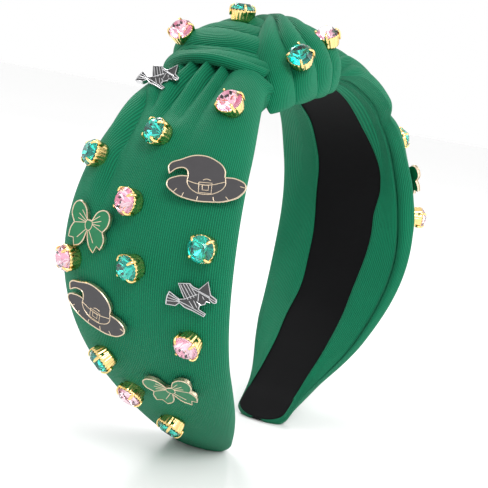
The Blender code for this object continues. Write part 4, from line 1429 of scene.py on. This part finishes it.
class HEADBAND_OT_charms(bpy.types.Operator):
    """Make the hat, bow and witch charms"""
    bl_idname = "headband.charms"
    bl_label = "Charms"

    def execute(self, context):
        for arm, side in SIDES.items():
            for number, (kind, along, across, turn) in enumerate(ARM_CHARMS[arm], start=1):
                point, normal, upwards = seat_on_cover(side, along, across)
                if (kind, number) == ("witch", 1):
                    sideways, forwards = FIRST_WITCH_LEAN
                    normal = (normal + Vector((sideways * side, forwards, 0.0))).normalized()
                matrix = placing(point, normal, upwards, turn, CHARM_SEAT + CHARM_THICKNESS / 2)
                charm = make_charm(f"{kind}_charm_{arm}_{number}", kind, matrix)
                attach(charm, BODY_OF_ARM[arm])
                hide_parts(f"charm_{arm}_{number}_{kind}")
        return {"FINISHED"}


class HEADBAND_OT_stage(bpy.types.Operator):
    """Set the floor, the lights and the camera"""
    bl_idname = "headband.stage"
    bl_label = "Stage"

    def execute(self, context):
        make_stage(context.scene)
        return {"FINISHED"}


OPERATORS = (HEADBAND_OT_covers, HEADBAND_OT_ribbon, HEADBAND_OT_knot, HEADBAND_OT_hoop,
             HEADBAND_OT_stones, HEADBAND_OT_charms, HEADBAND_OT_stage)


class HEADBAND_PT_panel(bpy.types.Panel):
    bl_label = "Knotted Headband"
    bl_idname = "HEADBAND_PT_panel"
    bl_space_type = "VIEW_3D"
    bl_region_type = "UI"
    bl_category = "Headband"

    def draw(self, context):
        for operator in OPERATORS:
            self.layout.operator(operator.bl_idname)
        for group in (context.scene.headband_finish, context.scene.headband_cloth):
            for name in group.bl_rna.properties.keys():
                if name not in ("rna_type", "name"):
                    self.layout.prop(group, name)


# ---------------------------------------------------------------- stage

CAMERA_EYE = Vector((-0.3471, -0.1608, -0.0113))      # from the crown's inner line
CAMERA_AIM = Vector((0.0, 0.0, -0.0700))
CAMERA_ROLL = 10.0
CAMERA_LENS = 82.8
CAMERA_SENSOR = 36.0
CAMERA_SHIFT = (-0.029, 0.071)
FLOOR_SIZE = 30.0
FLOOR_FINISH = {"Base Color": (0.93, 0.93, 0.93, 1.0), "Roughness": 0.22,
                "Specular IOR Level": 0.35}
# Soft lights: place, height aimed at, width, power
LIGHTS = {"key": ((-0.9, -0.9, 1.2), 0.07, 0.7, 14.0),
          "fill": ((0.5, -1.2, 0.6), 0.07, 0.9, 5.0),
          "rim": ((0.6, 0.9, 1.1), 0.1, 0.6, 8.0)}


def add_floor():
    body = bmesh.new()
    bmesh.ops.create_grid(body, x_segments=1, y_segments=1, size=FLOOR_SIZE)
    material = principled("pale floor", FLOOR_FINISH)[0]
    finish_object("floor", mesh_of(body, "floor"), [material])


def add_light(name, place, aimed_height, width, power):
    light = bpy.data.lights.new(name, "AREA")
    light.shape = "RECTANGLE"
    light.size = width
    light.size_y = width
    light.energy = power
    item = link_object(name, light)
    item.location = place
    direction = Vector((0.0, 0.0, aimed_height)) - Vector(place)
    item.rotation_euler = direction.to_track_quat("-Z", "Y").to_euler()


def add_camera(scene):
    """Camera that looks at the aim point with its roll."""
    data = bpy.data.cameras.new("camera")
    data.lens = CAMERA_LENS
    data.sensor_width = CAMERA_SENSOR
    data.shift_x, data.shift_y = CAMERA_SHIFT
    camera = link_object("camera", data)
    camera.location = Vector((0.0, 0.0, STAND_HEIGHT * MM)) + CAMERA_EYE
    level = (CAMERA_AIM - CAMERA_EYE).to_track_quat("-Z", "Y").to_matrix()
    roll = Matrix.Rotation(math.radians(CAMERA_ROLL), 3, "Z")
    camera.rotation_euler = (level @ roll).to_euler()
    scene.camera = camera


def make_stage(scene):
    add_floor()
    scene.world = bpy.data.worlds.new("studio")
    scene.world.use_nodes = True
    background = scene.world.node_tree.nodes["Background"]
    background.inputs["Color"].default_value = (1.0, 1.0, 1.0, 1.0)
    background.inputs["Strength"].default_value = 1.0
    for name, values in LIGHTS.items():
        add_light(name, *values)
    add_camera(scene)
    scene.view_settings.view_transform = "Standard"


# ---------------------------------------------------------------- registration

CLASSES = (HeadbandFinish, HeadbandCloth, *OPERATORS, HEADBAND_PT_panel)


def register():
    for item in CLASSES:
        bpy.utils.register_class(item)
    bpy.types.Scene.headband_finish = bpy.props.PointerProperty(type=HeadbandFinish)
    bpy.types.Scene.headband_cloth = bpy.props.PointerProperty(type=HeadbandCloth)


def unregister():
    del bpy.types.Scene.headband_cloth
    del bpy.types.Scene.headband_finish
    for item in reversed(CLASSES):
        bpy.utils.unregister_class(item)


def main():
    register()
    bpy.ops.headband.covers()
    bpy.ops.headband.ribbon()
    bpy.ops.headband.knot()
    bpy.ops.headband.hoop()
    bpy.ops.headband.stones()
    bpy.ops.headband.charms()
    bpy.ops.headband.stage()


if __name__ == "__main__":
    main()
